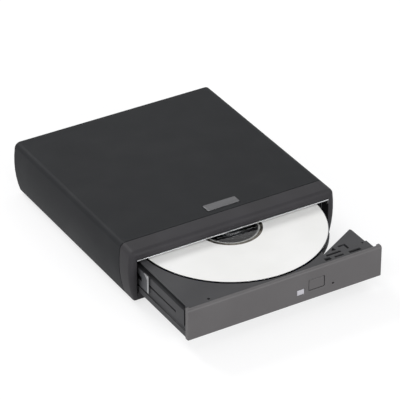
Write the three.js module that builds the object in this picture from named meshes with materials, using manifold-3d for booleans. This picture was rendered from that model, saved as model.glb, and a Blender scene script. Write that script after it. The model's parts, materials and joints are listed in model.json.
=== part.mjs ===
// External optical drive with a pull-out tray, a disc seated on the spindle
// Millimetres, +Z up, front to -Y, origin under the middle of the box round the open drive
import * as THREE from "three";
import { mergeVertices } from "three/addons/utils/BufferGeometryUtils.js";
import Module from "manifold-3d";

const wasm = await Module();
wasm.setup();

// Disc, by its standard
const discRadius = 60;
const discHole = 7.5;
const discThickness = 1.2;

// Clearances, and the overrun of every cut
const seat = 0.25;
const slideGap = 0.3;
const over = 1;

// Tray in plan; its depths are counted back from the bezel's face
const trayOut = 59;
const discFront = 5;
const trayRearMargin = 1;
const traySideMargin = 5.6;
const frontWallDepth = 6.8;
const bodyWall = 1.5;
const deckSideInset = 3.3;
const deckLipInset = 0.9;
const deckLipThickness = 1.5;
const bodyRightInset = 9.5;
const ledgeWidth = 4.6;
const ledgeThickness = 1.6;
const rimReach = 0.8;
const diagonalStartShare = 0.4667;
const diagonalEndShare = 0.7;
const armInset = 3.7;
const armStep = 1.1;
const armStepDepth = 10.5;
const armLength = 26.5;
const armTipShare = 0.55;
const armTipDepth = 10.9;
const armThickness = 2.6;
const grooveRise = 10.4;
const grooveHeight = 1.5;
const grooveCut = 1;
const grooveStart = 17;
const grooveRearMargin = 5;
const pocketDepth = 1.8;
const dimpleInset = 15.3;
const dimpleBack = 5.5;
const dimpleRadius = 1;

// Disc well
const discLift = 1.2;
const wellGap = 1.2;
const wellDepth = 2.25;
const floorGap = 0.6;

// Bezel, button, lamp window and release hole
const bezelSideGap = 0.4;
const bezelWall = 2.2;
const bezelDepth = 3.4;
const bezelReturn = 2;
const bezelTopRadius = 1.6;
const bezelBottomRadius = 0.8;
const sillGap = 0.5;
const sideSlit = 2.8;
const hookShares = [-0.685, -0.17, 0.685];
const hookWidth = 5;
const hookRise = 2.6;
const hookThickness = 1.3;
const barbHeight = 0.8;
const barbLength = 0.8;
const buttonX = 21.15;
const buttonRise = 10.3;
const buttonWidth = 10.7;
const buttonHeight = 7;
const buttonSink = 0.2;
const buttonCorner = 0.9;
const buttonGap = 0.35;
const buttonTravel = 0.8;
const stemPlay = 0.15;
const flangeMargin = 1;
const flangeSetback = 0.4;
const flangeThickness = 1;
const stemSize = 3;
const lampX = 9.9;
const lampRise = 7.5;
const lampWidth = 5;
const lampHeight = 3.5;
const lampReach = 1;
const lampGap = 0.2;
const releaseX = 32.8;
const releaseRise = 6.5;
const releaseRadius = 0.8;

// Tray electronics
const coverSheet = 0.6;
const trayScrewLength = 7;
const boardRise = 2.3;
const boardThickness = 1.2;
const boardSideInset = 3.6;
const boardRightInset = 2.5;
const boardHookGap = 0.4;
const boardRearInset = 16;
const boardPostShares = [[0.057, 0.12], [0.943, 0.25], [0.057, 0.9], [0.434, 0.9]];
const rearPostInset = 5.5;
const postRadius = 2.3;
const postShoulder = 3.4;
const chipHeight = 1.3;
const controllerSize = 14;
const controllerShare = 0.434;
const driverSize = 9;
const driverShare = 0.183;
const chipBackShare = 0.413;
const switchWidth = 7;
const switchDepth = 3;
const switchSetback = 0.6;
const plungerReach = 1.05;
const plungerRadius = 1.2;
const ledWidth = 3.6;
const ledDepth = 1.85;

// Spindle motor
const motorClear = 0.9;
const motorRadius = 12.2;
const motorHoleGap = 0.6;
const motorBaseMargin = 2.8;
const motorBaseThickness = 1.4;
const motorBaseDrop = 6.2;
const motorPostRadius = 1.2;
const motorPostMargin = 0.95;
const motorPostAngle = 0.62 * Math.PI;
const cupWall = 1.2;
const cupTop = 1.6;
const cupHeight = 7.6;
const statorGap = 1.4;
const statorHeight = 4.4;
const statorTeeth = 9;
const bearingRadius = 3;
const shaftRadius = 1.2;
const turntableRadius = 13.5;
const turntableThickness = 1.1;
const coreMargin = 0.5;
const centringRadius = 7.2;
const centringRise = 0.5;
const crownRadius = 5.4;
const clawCount = 3;
const clawWidth = 2.4;
const clawDepth = 2.2;
const clawHeight = 0.32;
const clawReach = 7.9;

// Sled and its frame; u runs along the sled travel at 45 degrees, v across it
const sledAngle = 0.75 * Math.PI;
const damperHeight = 2;
const damperRadius = 3;
const frameSheet = 1.4;
const frameMargin = 0.5;
const frameCornerGap = 1.15;
const frameWall = 1;
const earInset = 7;
const earOut = 3.4;
const earRadius = 3;
const rodRadius = 1.4;
const rodDrop = 2.8;
const rodSide = 2.5;
const nearRodV = 5.5;
const nearRodSide = 2.7;
const screwSide = 4.8;
const screwRadius = 1.5;
const rodBlockMargin = 0.1;
const rodBlockLength = 1.8;
const rodBlockBack = 0.6;
const rodBlockWidth = 4.2;
const sledMotorRadius = 4;
const sledMotorLength = 10.2;
const pickupBack = 9;
const pickupAhead = 7.6;
const pickupHeight = 5;
const pickupDrop = 0.6;
const fingerLength = 5;
const turretHalf = 4.5;
const turretHalfV = 6;
const turretClear = 1.6;
const lensRadius = 2.6;
const lensSink = 0.6;
const lensShoulderRadius = 1.8;
const lensShoulderRise = 0.3;
const lensDomeRise = 0.5;
const windowSide = 2.5;
const windowInset = 4.8;
const windowGap = 2;

// Latch and solenoid under the arm
const latchReach = 5.5;
const latchBack = 12.5;
const latchRise = 7.7;
const latchThickness = 1.5;
const latchPinRadius = 1.2;
const latchBossRadius = 2.6;
const latchArmWidth = 3.2;
const latchPostAside = 4.5;
const latchPostBack = 18;
const latchPostRadius = 1.25;
const latchPostRise = 1.1;
const latchPostFoot = 2.8;
const latchTipThickness = 1.7;
const latchCatchGap = 0.45;
const linkBack = 16;
const linkPinRadius = 0.6;
const linkSlotHalf = 1.3;
const plungerRodRadius = 1;
const solenoidGap = 0.5;
const solenoidLength = 9;
const solenoidDepth = 5;
const solenoidHeight = 6;

// Deck, well and lid above the sled
const deckThickness = 4.9;
const trayDrop = 0.45;
const sideStep = 4.35;
const bezelTopGap = 0.8;
const lidSheet = 0.6;
const lidReach = 0.35;

// Bay and housing; depths are counted back from the case front, heights from the desk
const bayRise = 6.4;
const baySideRoom = 0.9;
const trayRunGap = 0.3;
const caseSideMargin = 4.9;
const caseTopMargin = 5.7;
const caseRearRoom = 20;
const caseWall = 1.8;
const bulgeRadius = 70;
const bulgeHeight = 22;
const topCornerRadius = 4;
const frontEdgeRadius = 3;
const frameDepth = 13;
const lipDepth = 7;
const bottomThickness = 2;
const panelThickness = 2;
const panelInset = 0.3;

// Metal tub of the drive
const tubSheet = 0.8;
const tubSideRoom = 0.5;
const tubFrontGap = 0.5;
const tubRearGap = 3;
const tubDrop = 0.4;
const cableSlotMargin = 6;
const cableSlotHeight = 8;

// Feet
const footHeight = 2;
const footRadius = 5.5;
const footChamfer = 0.6;
const footPocket = 0.8;
const footSideInset = 15.5;
const footFront = 30;
const footRearInset = 23;

// Badge plate, left bare
const badgeWidth = 22.7;
const badgeDepth = 6.5;
const badgeThickness = 0.7;
const badgePocket = 0.5;
const badgeX = 3;
const badgeSetback = 7.6;
const badgeCorner = 0.7;

// Screws
const headRadius = 2.4;
const headHeight = 0.9;
const headSink = 1.2;
const shankRadius = 1.1;
const caseScrewInset = 14.5;
const caseScrewSetback = 4.5;
const caseScrewRearInset = 11;
const caseScrewLength = 4.2;
const tabWidth = 9;
const tabReach = 8;
const tabHeight = 2.4;
const pillarRadius = 3.2;
const tubScrewInset = 24.1;
const tubScrewFrontInset = 34.5;
const tubScrewRearInset = 19;
const bossRadius = 3.8;

// Rails and their guides
const railThickness = 0.8;
const railHeight = 11.9;
const railRise = 5.6;
const railLeftStart = 17.8;
const railRearMargin = 13.2;
const railRightSetback = 2;
const railShare = 0.5;
const railSlotHeight = 3.4;
const railSlotMargin = 8;
const guideLip = 1.2;
const guideSetback = 1.5;
const guideBlock = 2.8;
const guideWall = 1.2;
const guideFoot = 4;
const guideRearReach = 1;

// Bridge board behind the drive, and the sockets in the rear panel
const bridgeSideInset = 18.1;
const bridgeFrontGap = 2;
const bridgeRearGap = 0.7;
const bridgeRise = 8;
const bridgeThickness = 1.4;
const bridgeScrewInset = 4;
const connectorShare = 0.44;
const connectorDepth = 5;
const connectorHeight = 4.5;
const bridgeChipSize = 9;
const bridgeChipX = 4;
const bridgeChipInset = 5.5;
const capacitorRadius = 2.4;
const capacitorHeight = 6.5;
const capacitorX = -14;
const capacitorStep = 6;
const socketWidth = 12;
const socketHeight = 11;
const socketLength = 15.5;
const socketShare = 0.3;
const socketMouthWidth = 9;
const socketMouthHeight = 8.2;
const socketMouthDepth = 9.5;
const tongueWidth = 5.6;
const tongueHeight = 3.3;
const tongueLength = 8.8;
const jackShare = -0.32;
const jackWidth = 9;
const jackLength = 13.5;
const jackBore = 3.1;
const jackBoreDepth = 9.5;
const jackPinRadius = 1;
const jackPinLength = 8.6;
const ventCount = 7;
const ventStep = 3.4;
const ventWidth = 1.5;
const ventHeight = 9;
const ventRise = 11;
const ribbonWidth = 40;
const ribbonThickness = 0.2;
const ribbonLength = 67;
const ribbonLift = 0.12;

// Steps of curves
const sideSteps = 6;
const cornerSteps = 5;
const edgeSteps = 4;
const wideSides = 72;
const midSides = 36;
const smallSides = 16;
const tinySides = 10;

// Plan of the tray and the bay
const discBack = discRadius + discFront;
const trayLength = discBack + discRadius + trayRearMargin;
const traySideX = discRadius + traySideMargin;
const rimX = traySideX + rimReach;
const deckLeftX = traySideX - deckSideInset;
const deckLipX = traySideX - deckLipInset;
const bodyRightX = discRadius - bodyRightInset;
const ledgeInnerX = traySideX - ledgeWidth;
const diagonalStartX = diagonalStartShare * discRadius;
const diagonalEndDepth = diagonalEndShare * discRadius;
const armX = traySideX - armInset;
const armStepX = armX + armStep;
const armTipX = armTipShare * discRadius;
const wellRadius = discRadius + wellGap;
const floorRadius = discRadius + floorGap;
const bayWidth = 2 * (traySideX + slideGap + railThickness + baySideRoom);
const bezelHalf = bayWidth / 2 - bezelSideGap;
const bezelInner = bezelHalf - bezelReturn;
const noseStart = bezelWall + slideGap;
const sideFront = bezelDepth + slideGap;
const wallEnd = frontWallDepth + bodyWall;
const hookEnd = wallEnd + slideGap + barbLength;
const flangeBack = bezelWall + flangeSetback;
const lampEnd = wallEnd + lampReach;
const boardLeftX = traySideX - boardSideInset;
const boardRightX = diagonalStartX - boardRightInset;
const boardFront = hookEnd + boardHookGap;
const boardRear = discBack - boardRearInset;
const switchStart = boardFront + switchSetback;
const stemEnd = switchStart - plungerReach - buttonTravel - stemPlay;
const diagonalSlope = (bodyRightX - diagonalStartX) / (diagonalEndDepth - frontWallDepth);
const solenoidRear = linkBack + solenoidDepth / 2;
const solenoidX = diagonalStartX + diagonalSlope * (solenoidRear - frontWallDepth) + solenoidGap;
const latchX = solenoidX + solenoidLength + latchReach;
const latchPostX = latchX + latchPostAside;

// Plan of the housing
const tubWidth = bayWidth + 2 * tubSideRoom;
const tubInnerX = tubWidth / 2 - tubSheet;
const tubStart = lipDepth + tubFrontGap;
const tubEnd = trayLength + tubRearGap;
const caseWidth = bayWidth + 2 * caseSideMargin;
const caseDepth = tubEnd + caseRearRoom;
const panelBack = caseDepth - panelInset;
const panelFront = panelBack - panelThickness;
const halfLength = (caseDepth + trayOut) / 2;
const caseFrontY = trayOut - halfLength;
const bezelFrontY = -halfLength;
const footX = caseWidth / 2 - footSideInset;
const footRear = caseDepth - footRearInset;
const caseScrewX = caseWidth / 2 - caseScrewInset;
const caseScrewFront = frameDepth + caseScrewSetback;
const caseScrewRear = caseDepth - caseScrewRearInset;
const tubScrewX = tubWidth / 2 - tubScrewInset;
const tubScrewFront = tubStart + tubScrewFrontInset;
const tubScrewRear = tubEnd - tubScrewRearInset;
const badgeBack = frameDepth + badgeSetback;
const railInnerX = traySideX + slideGap;
const railLength = trayLength - railRearMargin - railLeftStart;
const guideStart = tubStart + guideSetback;
const guideRightStart = armLength + guideSetback;
const guideRightEnd = trayLength + guideRearReach;
const railRightStart = guideRightStart + railRightSetback;
const bridgeWidth = tubWidth - 2 * bridgeSideInset;
const bridgeStart = tubEnd + bridgeFrontGap;
const bridgeEnd = panelFront - bridgeRearGap;
const bridgeScrewX = bridgeWidth / 2 - bridgeScrewInset;
const bridgeScrewBack = (bridgeStart + bridgeEnd) / 2;
const bridgeChipBack = bridgeEnd - bridgeChipInset;
const connectorWidth = connectorShare * bridgeWidth;
const connectorStart = tubEnd + slideGap;
const socketX = socketShare * bridgeWidth;
const jackX = jackShare * bridgeWidth;

// Levels, built up from the desk
const caseBottom = footHeight;
const bottomTop = caseBottom + bottomThickness;
const bayFloor = caseBottom + bayRise;
const tubFloor = bayFloor - tubDrop;
const trayBottom = bayFloor + trayRunGap;
const bezelBottom = bayFloor + bezelSideGap;
const wallBottom = trayBottom + coverSheet + seat;
const boardBottom = trayBottom + boardRise;
const boardTop = boardBottom + boardThickness;
const motorBaseLow = boardTop + chipHeight + motorClear;
const motorBaseTop = motorBaseLow + motorBaseThickness;
const frameBottom = motorBaseLow + motorBaseDrop + seat;
const frameTop = frameBottom + frameSheet;
const rodZ = frameBottom - rodDrop;
const deckBottom = frameTop + damperHeight + 2 * seat;
const trayTop = deckBottom + deckThickness;
const sideTop = trayTop - sideStep;
const armBottom = trayTop - armThickness;
const wellFloor = trayTop - wellDepth;
const discBottom = wellFloor + discLift;
const discTop = discBottom + discThickness;
const bezelTop = trayTop + trayDrop;
const lidBottom = bezelTop + bezelTopGap;
const bayTop = lidBottom + lidSheet + slideGap;
const caseTop = bayTop + caseTopMargin;
const buttonZ = bezelBottom + buttonRise;
const lampZ = bezelBottom + lampRise;
const releaseZ = bezelBottom + releaseRise;
const latchBottom = trayBottom + latchRise;
const railBottom = trayBottom + railRise;
const railTop = railBottom + railHeight;
const rimTop = railBottom - guideLip - 2 * slideGap;
const bridgeBottom = caseBottom + bridgeRise;
const bridgeTop = bridgeBottom + bridgeThickness;

// Plan of the sled
const motorHole = motorRadius + motorHoleGap;
const motorBaseRadius = motorRadius + motorBaseMargin;
const motorPostReach = motorHole + motorPostMargin;
const statorRadius = motorRadius - cupWall - statorGap;
const windowRadius = turntableRadius + windowGap;
const windowHalf = turretHalfV + windowSide;
const frameRodSide = motorBaseRadius + frameMargin;
const cornerReachBack = discRadius + trayRearMargin - bodyWall - frameCornerGap;
const frameEnd = Math.SQRT2 * cornerReachBack - frameRodSide;
const pickupFarV = frameWall + frameMargin - frameRodSide;
const farRodV = pickupFarV + rodSide;
const pickupNearV = nearRodV + nearRodSide;
const screwV = pickupNearV + screwSide;
const frameScrewSide = screwV + sledMotorRadius + frameWall + frameMargin;
const earFar = frameEnd - earInset;
const windowEnd = frameEnd - windowInset;
const rodBlockStart = motorHole + rodBlockMargin;
const rodBlockEnd = rodBlockStart + rodBlockLength;
const pickupStart = rodBlockEnd + slideGap;
const lensRest = pickupStart + pickupBack;
const pickupEnd = lensRest + pickupAhead;

// Finishes
function finish(color, roughness, metalness = 0) {
  return () => new THREE.MeshStandardMaterial({ color, roughness, metalness });
}
const coverPaint = finish(0x4b4d50, 0.5);
const framePaint = finish(0x636166, 0.45);
const bezelPaint = finish(0x626064, 0.45);
const trayPlastic = finish(0x464649, 0.55);
const rubber = finish(0x1b1b1c, 0.85);
const sheetSteel = finish(0xb4b6b8, 0.35, 1);
const darkSteel = finish(0x77797b, 0.4, 1);
const brightSteel = finish(0xcfd1d3, 0.2, 1);
const brass = finish(0xb08d4c, 0.35, 1);
const copper = finish(0xa8653c, 0.4, 1);
const boardLacquer = finish(0x1d5a37, 0.5);
const chipResin = finish(0x18181a, 0.45);
const blackPlastic = finish(0x202123, 0.5);
const paleLens = finish(0xdcdbe2, 0.2);
const discWhite = finish(0xe9e9e7, 0.35);
const amberFilm = finish(0xa8702c, 0.4);

// Solids from geometries
const mergeStep = 1e-4;
function solid(geometry) {
  geometry.deleteAttribute("normal");
  geometry.deleteAttribute("uv");
  const merged = mergeVertices(geometry, mergeStep);
  const vertProperties = Float32Array.from(merged.attributes.position.array);
  const triVerts = Uint32Array.from(merged.index.array);
  return new wasm.Manifold(new wasm.Mesh({ numProp: 3, vertProperties, triVerts }));
}

function join(first, ...others) {
  return others.reduce((whole, part) => whole.add(part), first);
}

function cut(first, ...others) {
  return others.reduce((whole, part) => whole.subtract(part), first);
}

function box(x0, x1, y0, y1, z0, z1) {
  const geometry = new THREE.BoxGeometry(x1 - x0, y1 - y0, z1 - z0);
  geometry.translate((x0 + x1) / 2, (y0 + y1) / 2, (z0 + z1) / 2);
  return solid(geometry);
}

function cylinder(x, y, z0, z1, radius, sides = smallSides) {
  const geometry = new THREE.CylinderGeometry(radius, radius, z1 - z0, sides);
  geometry.rotateX(Math.PI / 2);
  geometry.translate(x, y, (z0 + z1) / 2);
  return solid(geometry);
}

function cone(x, y, z0, z1, lowRadius, highRadius, sides = smallSides) {
  const geometry = new THREE.CylinderGeometry(highRadius, lowRadius, z1 - z0, sides);
  geometry.rotateX(Math.PI / 2);
  geometry.translate(x, y, (z0 + z1) / 2);
  return solid(geometry);
}

function cylinderX(x0, x1, y, z, radius, sides = smallSides) {
  const geometry = new THREE.CylinderGeometry(radius, radius, x1 - x0, sides);
  geometry.rotateZ(Math.PI / 2);
  geometry.translate((x0 + x1) / 2, y, z);
  return solid(geometry);
}

function cylinderY(x, y0, y1, z, radius, sides = smallSides) {
  const geometry = new THREE.CylinderGeometry(radius, radius, y1 - y0, sides);
  geometry.translate(x, (y0 + y1) / 2, z);
  return solid(geometry);
}

function prism(points, z0, z1) {
  const shape = new THREE.Shape(points.map(([x, y]) => new THREE.Vector2(x, y)));
  const geometry = new THREE.ExtrudeGeometry(shape, { depth: z1 - z0, bevelEnabled: false });
  geometry.translate(0, 0, z0);
  return solid(geometry);
}

function alongY(shape, y0, y1) {
  const geometry = new THREE.ExtrudeGeometry(shape, {
    depth: y1 - y0, bevelEnabled: false, curveSegments: cornerSteps });
  geometry.rotateX(Math.PI / 2);
  geometry.translate(0, y1, 0);
  return solid(geometry);
}

function alongX(shape, x0, x1) {
  const geometry = new THREE.ExtrudeGeometry(shape, {
    depth: x1 - x0, bevelEnabled: false, curveSegments: cornerSteps });
  const cycle = new THREE.Matrix4().set(0, 0, 1, 0, 1, 0, 0, 0, 0, 1, 0, 0, 0, 0, 0, 1);
  geometry.applyMatrix4(cycle);
  geometry.translate(x0, 0, 0);
  return solid(geometry);
}

function lathe(points, sides) {
  const profile = points.map(([r, z]) => new THREE.Vector2(r, z));
  const geometry = new THREE.LatheGeometry(profile, sides);
  geometry.rotateX(Math.PI / 2);
  return solid(geometry);
}

function roundedRectangle(x, z, width, height, radius) {
  const shape = new THREE.Shape();
  const left = x - width / 2;
  const low = z - height / 2;
  shape.absarc(left + radius, low + radius, radius, Math.PI, 1.5 * Math.PI);
  shape.absarc(left + width - radius, low + radius, radius, 1.5 * Math.PI, 2 * Math.PI);
  shape.absarc(left + width - radius, low + height - radius, radius, 0, Math.PI / 2);
  shape.absarc(left + radius, low + height - radius, radius, Math.PI / 2, Math.PI);
  return shape;
}

// A body through rings of equal point count, each at its own depth
function loft(rings, depths) {
  const count = rings[0].length;
  const positions = [];
  const faces = [];
  rings.forEach((ring, k) => ring.forEach((p) => positions.push(p.x, depths[k], p.y)));
  for (let k = 0; k < rings.length - 1; k += 1) {
    for (let i = 0; i < count; i += 1) {
      const j = (i + 1) % count;
      const near = k * count;
      const far = near + count;
      faces.push(near + i, far + i, near + j, near + j, far + i, far + j);
    }
  }
  const last = (rings.length - 1) * count;
  THREE.ShapeUtils.triangulateShape(rings[0], []).forEach(([a, b, c]) => {
    faces.push(a, b, c);
    faces.push(last + a, last + c, last + b);
  });
  const geometry = new THREE.BufferGeometry();
  geometry.setAttribute("position", new THREE.Float32BufferAttribute(positions, 3));
  geometry.setIndex(faces);
  return solid(geometry);
}

// A plain or headed screw that points up
function screw(x, y, z, length) {
  return join(
    cylinder(x, y, z, z + headHeight, headRadius),
    cylinder(x, y, z + headHeight / 2, z + length, shankRadius, tinySides));
}

function screwHole(x, y, z, length) {
  return join(
    cylinder(x, y, z - over, z + headSink, headRadius + seat),
    cylinder(x, y, z, z + length + seat, shankRadius + seat, tinySides));
}

function bothSides(places) {
  return places.flatMap(([x, y]) => [[-x, y], [x, y]]);
}

// Nodes
function node(parent, name, body, material) {
  const mesh = body.getMesh();
  const geometry = new THREE.BufferGeometry();
  geometry.setAttribute("position", new THREE.BufferAttribute(mesh.vertProperties, 3));
  geometry.setIndex(new THREE.BufferAttribute(mesh.triVerts, 1));
  geometry.computeVertexNormals();
  const piece = new THREE.Mesh(geometry, material());
  piece.name = name;
  parent.add(piece);
}

// Housing section: a long shallow side arc, a corner arc and the flat top
const bulgeX = caseWidth / 2 - bulgeRadius;
const bulgeZ = caseBottom + bulgeHeight;
const cornerZ = caseTop - topCornerRadius;
const cornerReach = bulgeRadius - topCornerRadius;
const cornerAngle = Math.asin((cornerZ - bulgeZ) / cornerReach);
const cornerX = bulgeX + cornerReach * Math.cos(cornerAngle);

function sideX(z, inset) {
  return bulgeX + Math.sqrt((bulgeRadius - inset) ** 2 - (z - bulgeZ) ** 2);
}

function halfSection(inset, bottom) {
  const points = [];
  const sideRadius = bulgeRadius - inset;
  const start = Math.asin((bottom - bulgeZ) / sideRadius);
  for (let i = 0; i <= sideSteps; i += 1) {
    const angle = start + (cornerAngle - start) * i / sideSteps;
    const x = bulgeX + sideRadius * Math.cos(angle);
    points.push(new THREE.Vector2(x, bulgeZ + sideRadius * Math.sin(angle)));
  }
  const cornerRadius = topCornerRadius - inset;
  for (let i = 1; i <= cornerSteps; i += 1) {
    const angle = cornerAngle + (Math.PI / 2 - cornerAngle) * i / cornerSteps;
    const x = cornerX + cornerRadius * Math.cos(angle);
    points.push(new THREE.Vector2(x, cornerZ + cornerRadius * Math.sin(angle)));
  }
  return points;
}

function section(inset, bottom) {
  const right = halfSection(inset, bottom);
  const left = right.map((p) => new THREE.Vector2(-p.x, p.y)).reverse();
  return [...right, ...left];
}

const caseScrewPlaces = bothSides([[caseScrewX, caseScrewFront], [caseScrewX, caseScrewRear]]);
const tubScrewPlaces = bothSides([[tubScrewX, tubScrewFront], [tubScrewX, tubScrewRear]]);
const footPlaces = bothSides([[footX, footFront], [footX, footRear]]);
const bridgeScrewPlaces = bothSides([[bridgeScrewX, bridgeScrewBack]]);
const screwStart = caseBottom + seat;

function frontFrame() {
  const rings = [];
  const depths = [];
  for (let i = 0; i <= edgeSteps; i += 1) {
    const angle = (Math.PI / 2) * i / edgeSteps;
    const inset = frontEdgeRadius * (1 - Math.sin(angle));
    rings.push(section(inset, caseBottom + inset));
    depths.push(frontEdgeRadius * (1 - Math.cos(angle)));
  }
  rings.push(section(0, caseBottom));
  depths.push(frameDepth);
  const half = bayWidth / 2;
  const tubHalf = tubWidth / 2 + slideGap;
  const floor = tubFloor - tubSheet - slideGap;
  const tabBottom = bottomTop + seat;
  const underHalf = sideX(caseBottom, 0);
  const tabs = [-caseScrewX, caseScrewX].map((x) => box(
    x - tabWidth / 2, x + tabWidth / 2, lipDepth, frameDepth + tabReach, tabBottom, tabBottom + tabHeight));
  const mouth = box(-half, half, -over, frameDepth + over, bayFloor, bayTop);
  const room = box(-tubHalf, tubHalf, lipDepth, frameDepth + over, floor, caseTop - caseWall);
  const under = box(-underHalf, underHalf, frameDepth, caseDepth, 0, tabBottom);
  const holes = caseScrewPlaces.slice(0, 2).map(([x, y]) => screwHole(x, y, screwStart, caseScrewLength));
  return cut(join(cut(loft(rings, depths), mouth, room), ...tabs), under, ...holes);
}

function topCover() {
  const shell = new THREE.Shape([...section(0, caseBottom), ...section(caseWall, caseBottom).reverse()]);
  const start = frameDepth + slideGap;
  const pillars = caseScrewPlaces.slice(2).map(([x, y]) => cylinder(
    x, y, bottomTop + seat, caseTop - caseWall / 2, pillarRadius));
  const holes = caseScrewPlaces.slice(2).map(([x, y]) => screwHole(x, y, screwStart, caseScrewLength));
  const pocket = prism(badgePoints(seat), caseTop - badgePocket, caseTop + over);
  return cut(join(alongY(shell, start, caseDepth), ...pillars), pocket, ...holes);
}

function badgePoints(margin) {
  const shape = roundedRectangle(
    badgeX, badgeBack, badgeWidth + 2 * margin, badgeDepth + 2 * margin, badgeCorner + margin);
  return shape.getPoints(cornerSteps).slice(0, -1).map((p) => [p.x, p.y]);
}

function badgePlate() {
  const bottom = caseTop - badgePocket + seat / 2;
  return prism(badgePoints(0), bottom, bottom + badgeThickness);
}

function bottomCover() {
  const half = sideX(caseBottom, caseWall) - slideGap;
  const plate = box(
    -half, half, frameDepth + slideGap, panelFront - slideGap, caseBottom, bottomTop);
  const tubBosses = tubScrewPlaces.map(([x, y]) => cylinder(
    x, y, caseBottom + bottomThickness / 2, tubFloor - tubSheet - seat, bossRadius));
  const bridgeBosses = bridgeScrewPlaces.map(([x, y]) => cylinder(
    x, y, caseBottom + bottomThickness / 2, bridgeBottom - seat, bossRadius));
  const pockets = footPlaces.map(([x, y]) => cylinder(
    x, y, caseBottom - over, caseBottom + footPocket, footRadius + seat, midSides));
  const holes = [
    ...caseScrewPlaces.map(([x, y]) => screwHole(x, y, screwStart, caseScrewLength)),
    ...tubScrewPlaces.map(([x, y]) => screwHole(x, y, screwStart, tubFloor - screwStart))];
  const bridgeHoles = bridgeScrewPlaces.map(([x, y]) => cylinder(
    x, y, bottomTop, bridgeTop, shankRadius + seat, tinySides));
  return cut(join(plate, ...tubBosses, ...bridgeBosses), ...pockets, ...holes, ...bridgeHoles);
}

function foot(x, y) {
  const top = footHeight + footPocket - seat;
  const profile = [
    [0, 0], [footRadius - footChamfer, 0], [footRadius, footChamfer], [footRadius, top], [0, top]];
  return lathe(profile, midSides).translate([x, y, 0]);
}

function socketBox(margin) {
  const left = socketX - socketWidth / 2 - margin;
  const low = bridgeTop + seat - margin;
  return [left, left + socketWidth + 2 * margin, panelBack - socketLength - margin, panelBack + margin,
    low, low + socketHeight + 2 * margin];
}

function jackBox(margin) {
  const left = jackX - jackWidth / 2 - margin;
  const low = bridgeTop + seat - margin;
  return [left, left + jackWidth + 2 * margin, panelBack - jackLength - margin, panelBack + margin,
    low, low + socketHeight + 2 * margin];
}

function rearPanel() {
  const plate = alongY(new THREE.Shape(section(caseWall + seat, caseBottom)), panelFront, panelBack);
  const low = caseBottom + ventRise;
  const vents = [];
  for (let i = 0; i < ventCount; i += 1) {
    const x = (i - (ventCount - 1) / 2) * ventStep;
    vents.push(box(
      x - ventWidth / 2, x + ventWidth / 2, panelFront - over, panelBack + over, low, low + ventHeight));
  }
  return cut(plate, box(...socketBox(seat)), box(...jackBox(seat)), ...vents);
}

function driveTub() {
  const half = tubWidth / 2;
  const slotHalf = ribbonWidth / 2 + cableSlotMargin;
  const floorBottom = tubFloor - tubSheet;
  const outer = box(-half, half, tubStart, tubEnd, floorBottom, lidBottom - seat);
  const room = box(-tubInnerX, tubInnerX, tubStart - over, tubEnd - tubSheet, tubFloor, lidBottom + over);
  const slot = box(-slotHalf, slotHalf, tubEnd - tubSheet - over, tubEnd + over,
    tubFloor, tubFloor + cableSlotHeight);
  const holes = tubScrewPlaces.map(([x, y]) => cylinder(
    x, y, floorBottom - over, tubFloor + over, shankRadius + seat, tinySides));
  return cut(outer, room, slot, ...holes);
}

function driveLid() {
  const mouthHalf = bayWidth / 2 - slideGap;
  const half = tubWidth / 2;
  const top = lidBottom + lidSheet;
  const front = box(-mouthHalf, mouthHalf, -lidReach, tubStart + over, lidBottom, top);
  return join(front, box(-half, half, tubStart, tubEnd, lidBottom, top));
}

function latchPost() {
  const top = latchBottom + latchThickness + latchPostRise;
  const foot = cylinder(latchPostX, latchPostBack, tubFloor, tubFloor + tubSheet, latchPostFoot);
  return join(foot, cylinder(latchPostX, latchPostBack, tubFloor + tubSheet / 2, top, latchPostRadius));
}

function rail(x0, start) {
  const end = start + railLength;
  const middle = (railBottom + railTop) / 2;
  const strip = box(x0, x0 + railThickness, start, end, railBottom, railTop);
  const slot = box(x0 - over, x0 + railThickness + over, start + railSlotMargin, end - railSlotMargin,
    middle - railSlotHeight / 2, middle + railSlotHeight / 2);
  return cut(strip, slot);
}

function guideLips(x0, x1, start, end) {
  const lowTop = railBottom - slideGap;
  const highBottom = railTop + slideGap;
  return [
    box(x0, x1, start, end, lowTop - guideLip, lowTop),
    box(x0, x1, start, end, highBottom, highBottom + guideLip)];
}

function leftGuide() {
  const outer = -(tubInnerX - seat);
  const inner = -railInnerX;
  const stop = railLeftStart + railLength + slideGap;
  const lips = guideLips(outer, inner, guideStart, stop + guideBlock);
  const block = box(outer, inner, stop, stop + guideBlock,
    railBottom - slideGap - guideLip, railTop + slideGap + guideLip);
  return join(block, ...lips);
}

function rightGuide() {
  const inner = bodyRightX + slideGap;
  const wallX = inner + railThickness + slideGap;
  const wallEndX = wallX + guideWall;
  const floor = tubFloor + seat;
  const high = railTop + slideGap + guideLip;
  const lips = guideLips(inner, wallX + guideWall / 2, guideRightStart, guideRightEnd);
  const wall = box(wallX, wallEndX, guideRightStart, guideRightEnd, floor, high);
  const foot = box(wallX, wallEndX + guideFoot, guideRightStart, guideRightEnd, floor, floor + guideWall);
  return join(wall, foot, ...lips);
}

function bridgeBoard() {
  const half = bridgeWidth / 2;
  const plate = box(-half, half, bridgeStart, bridgeEnd, bridgeBottom, bridgeTop);
  return cut(plate, ...bridgeScrewPlaces.map(([x, y]) => cylinder(
    x, y, bridgeBottom - over, bridgeTop + over, shankRadius + seat, tinySides)));
}

function onBridge(x, y, size, height) {
  const low = bridgeTop + seat / 2;
  return box(x - size / 2, x + size / 2, y - size / 2, y + size / 2, low, low + height);
}

function capacitor(x) {
  const low = bridgeTop + seat / 2;
  return cylinder(x, bridgeChipBack, low, low + capacitorHeight, capacitorRadius);
}

function driveConnector() {
  const low = bridgeTop + seat / 2;
  return box(-connectorWidth / 2, connectorWidth / 2, connectorStart, connectorStart + connectorDepth,
    low, low + connectorHeight);
}

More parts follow.
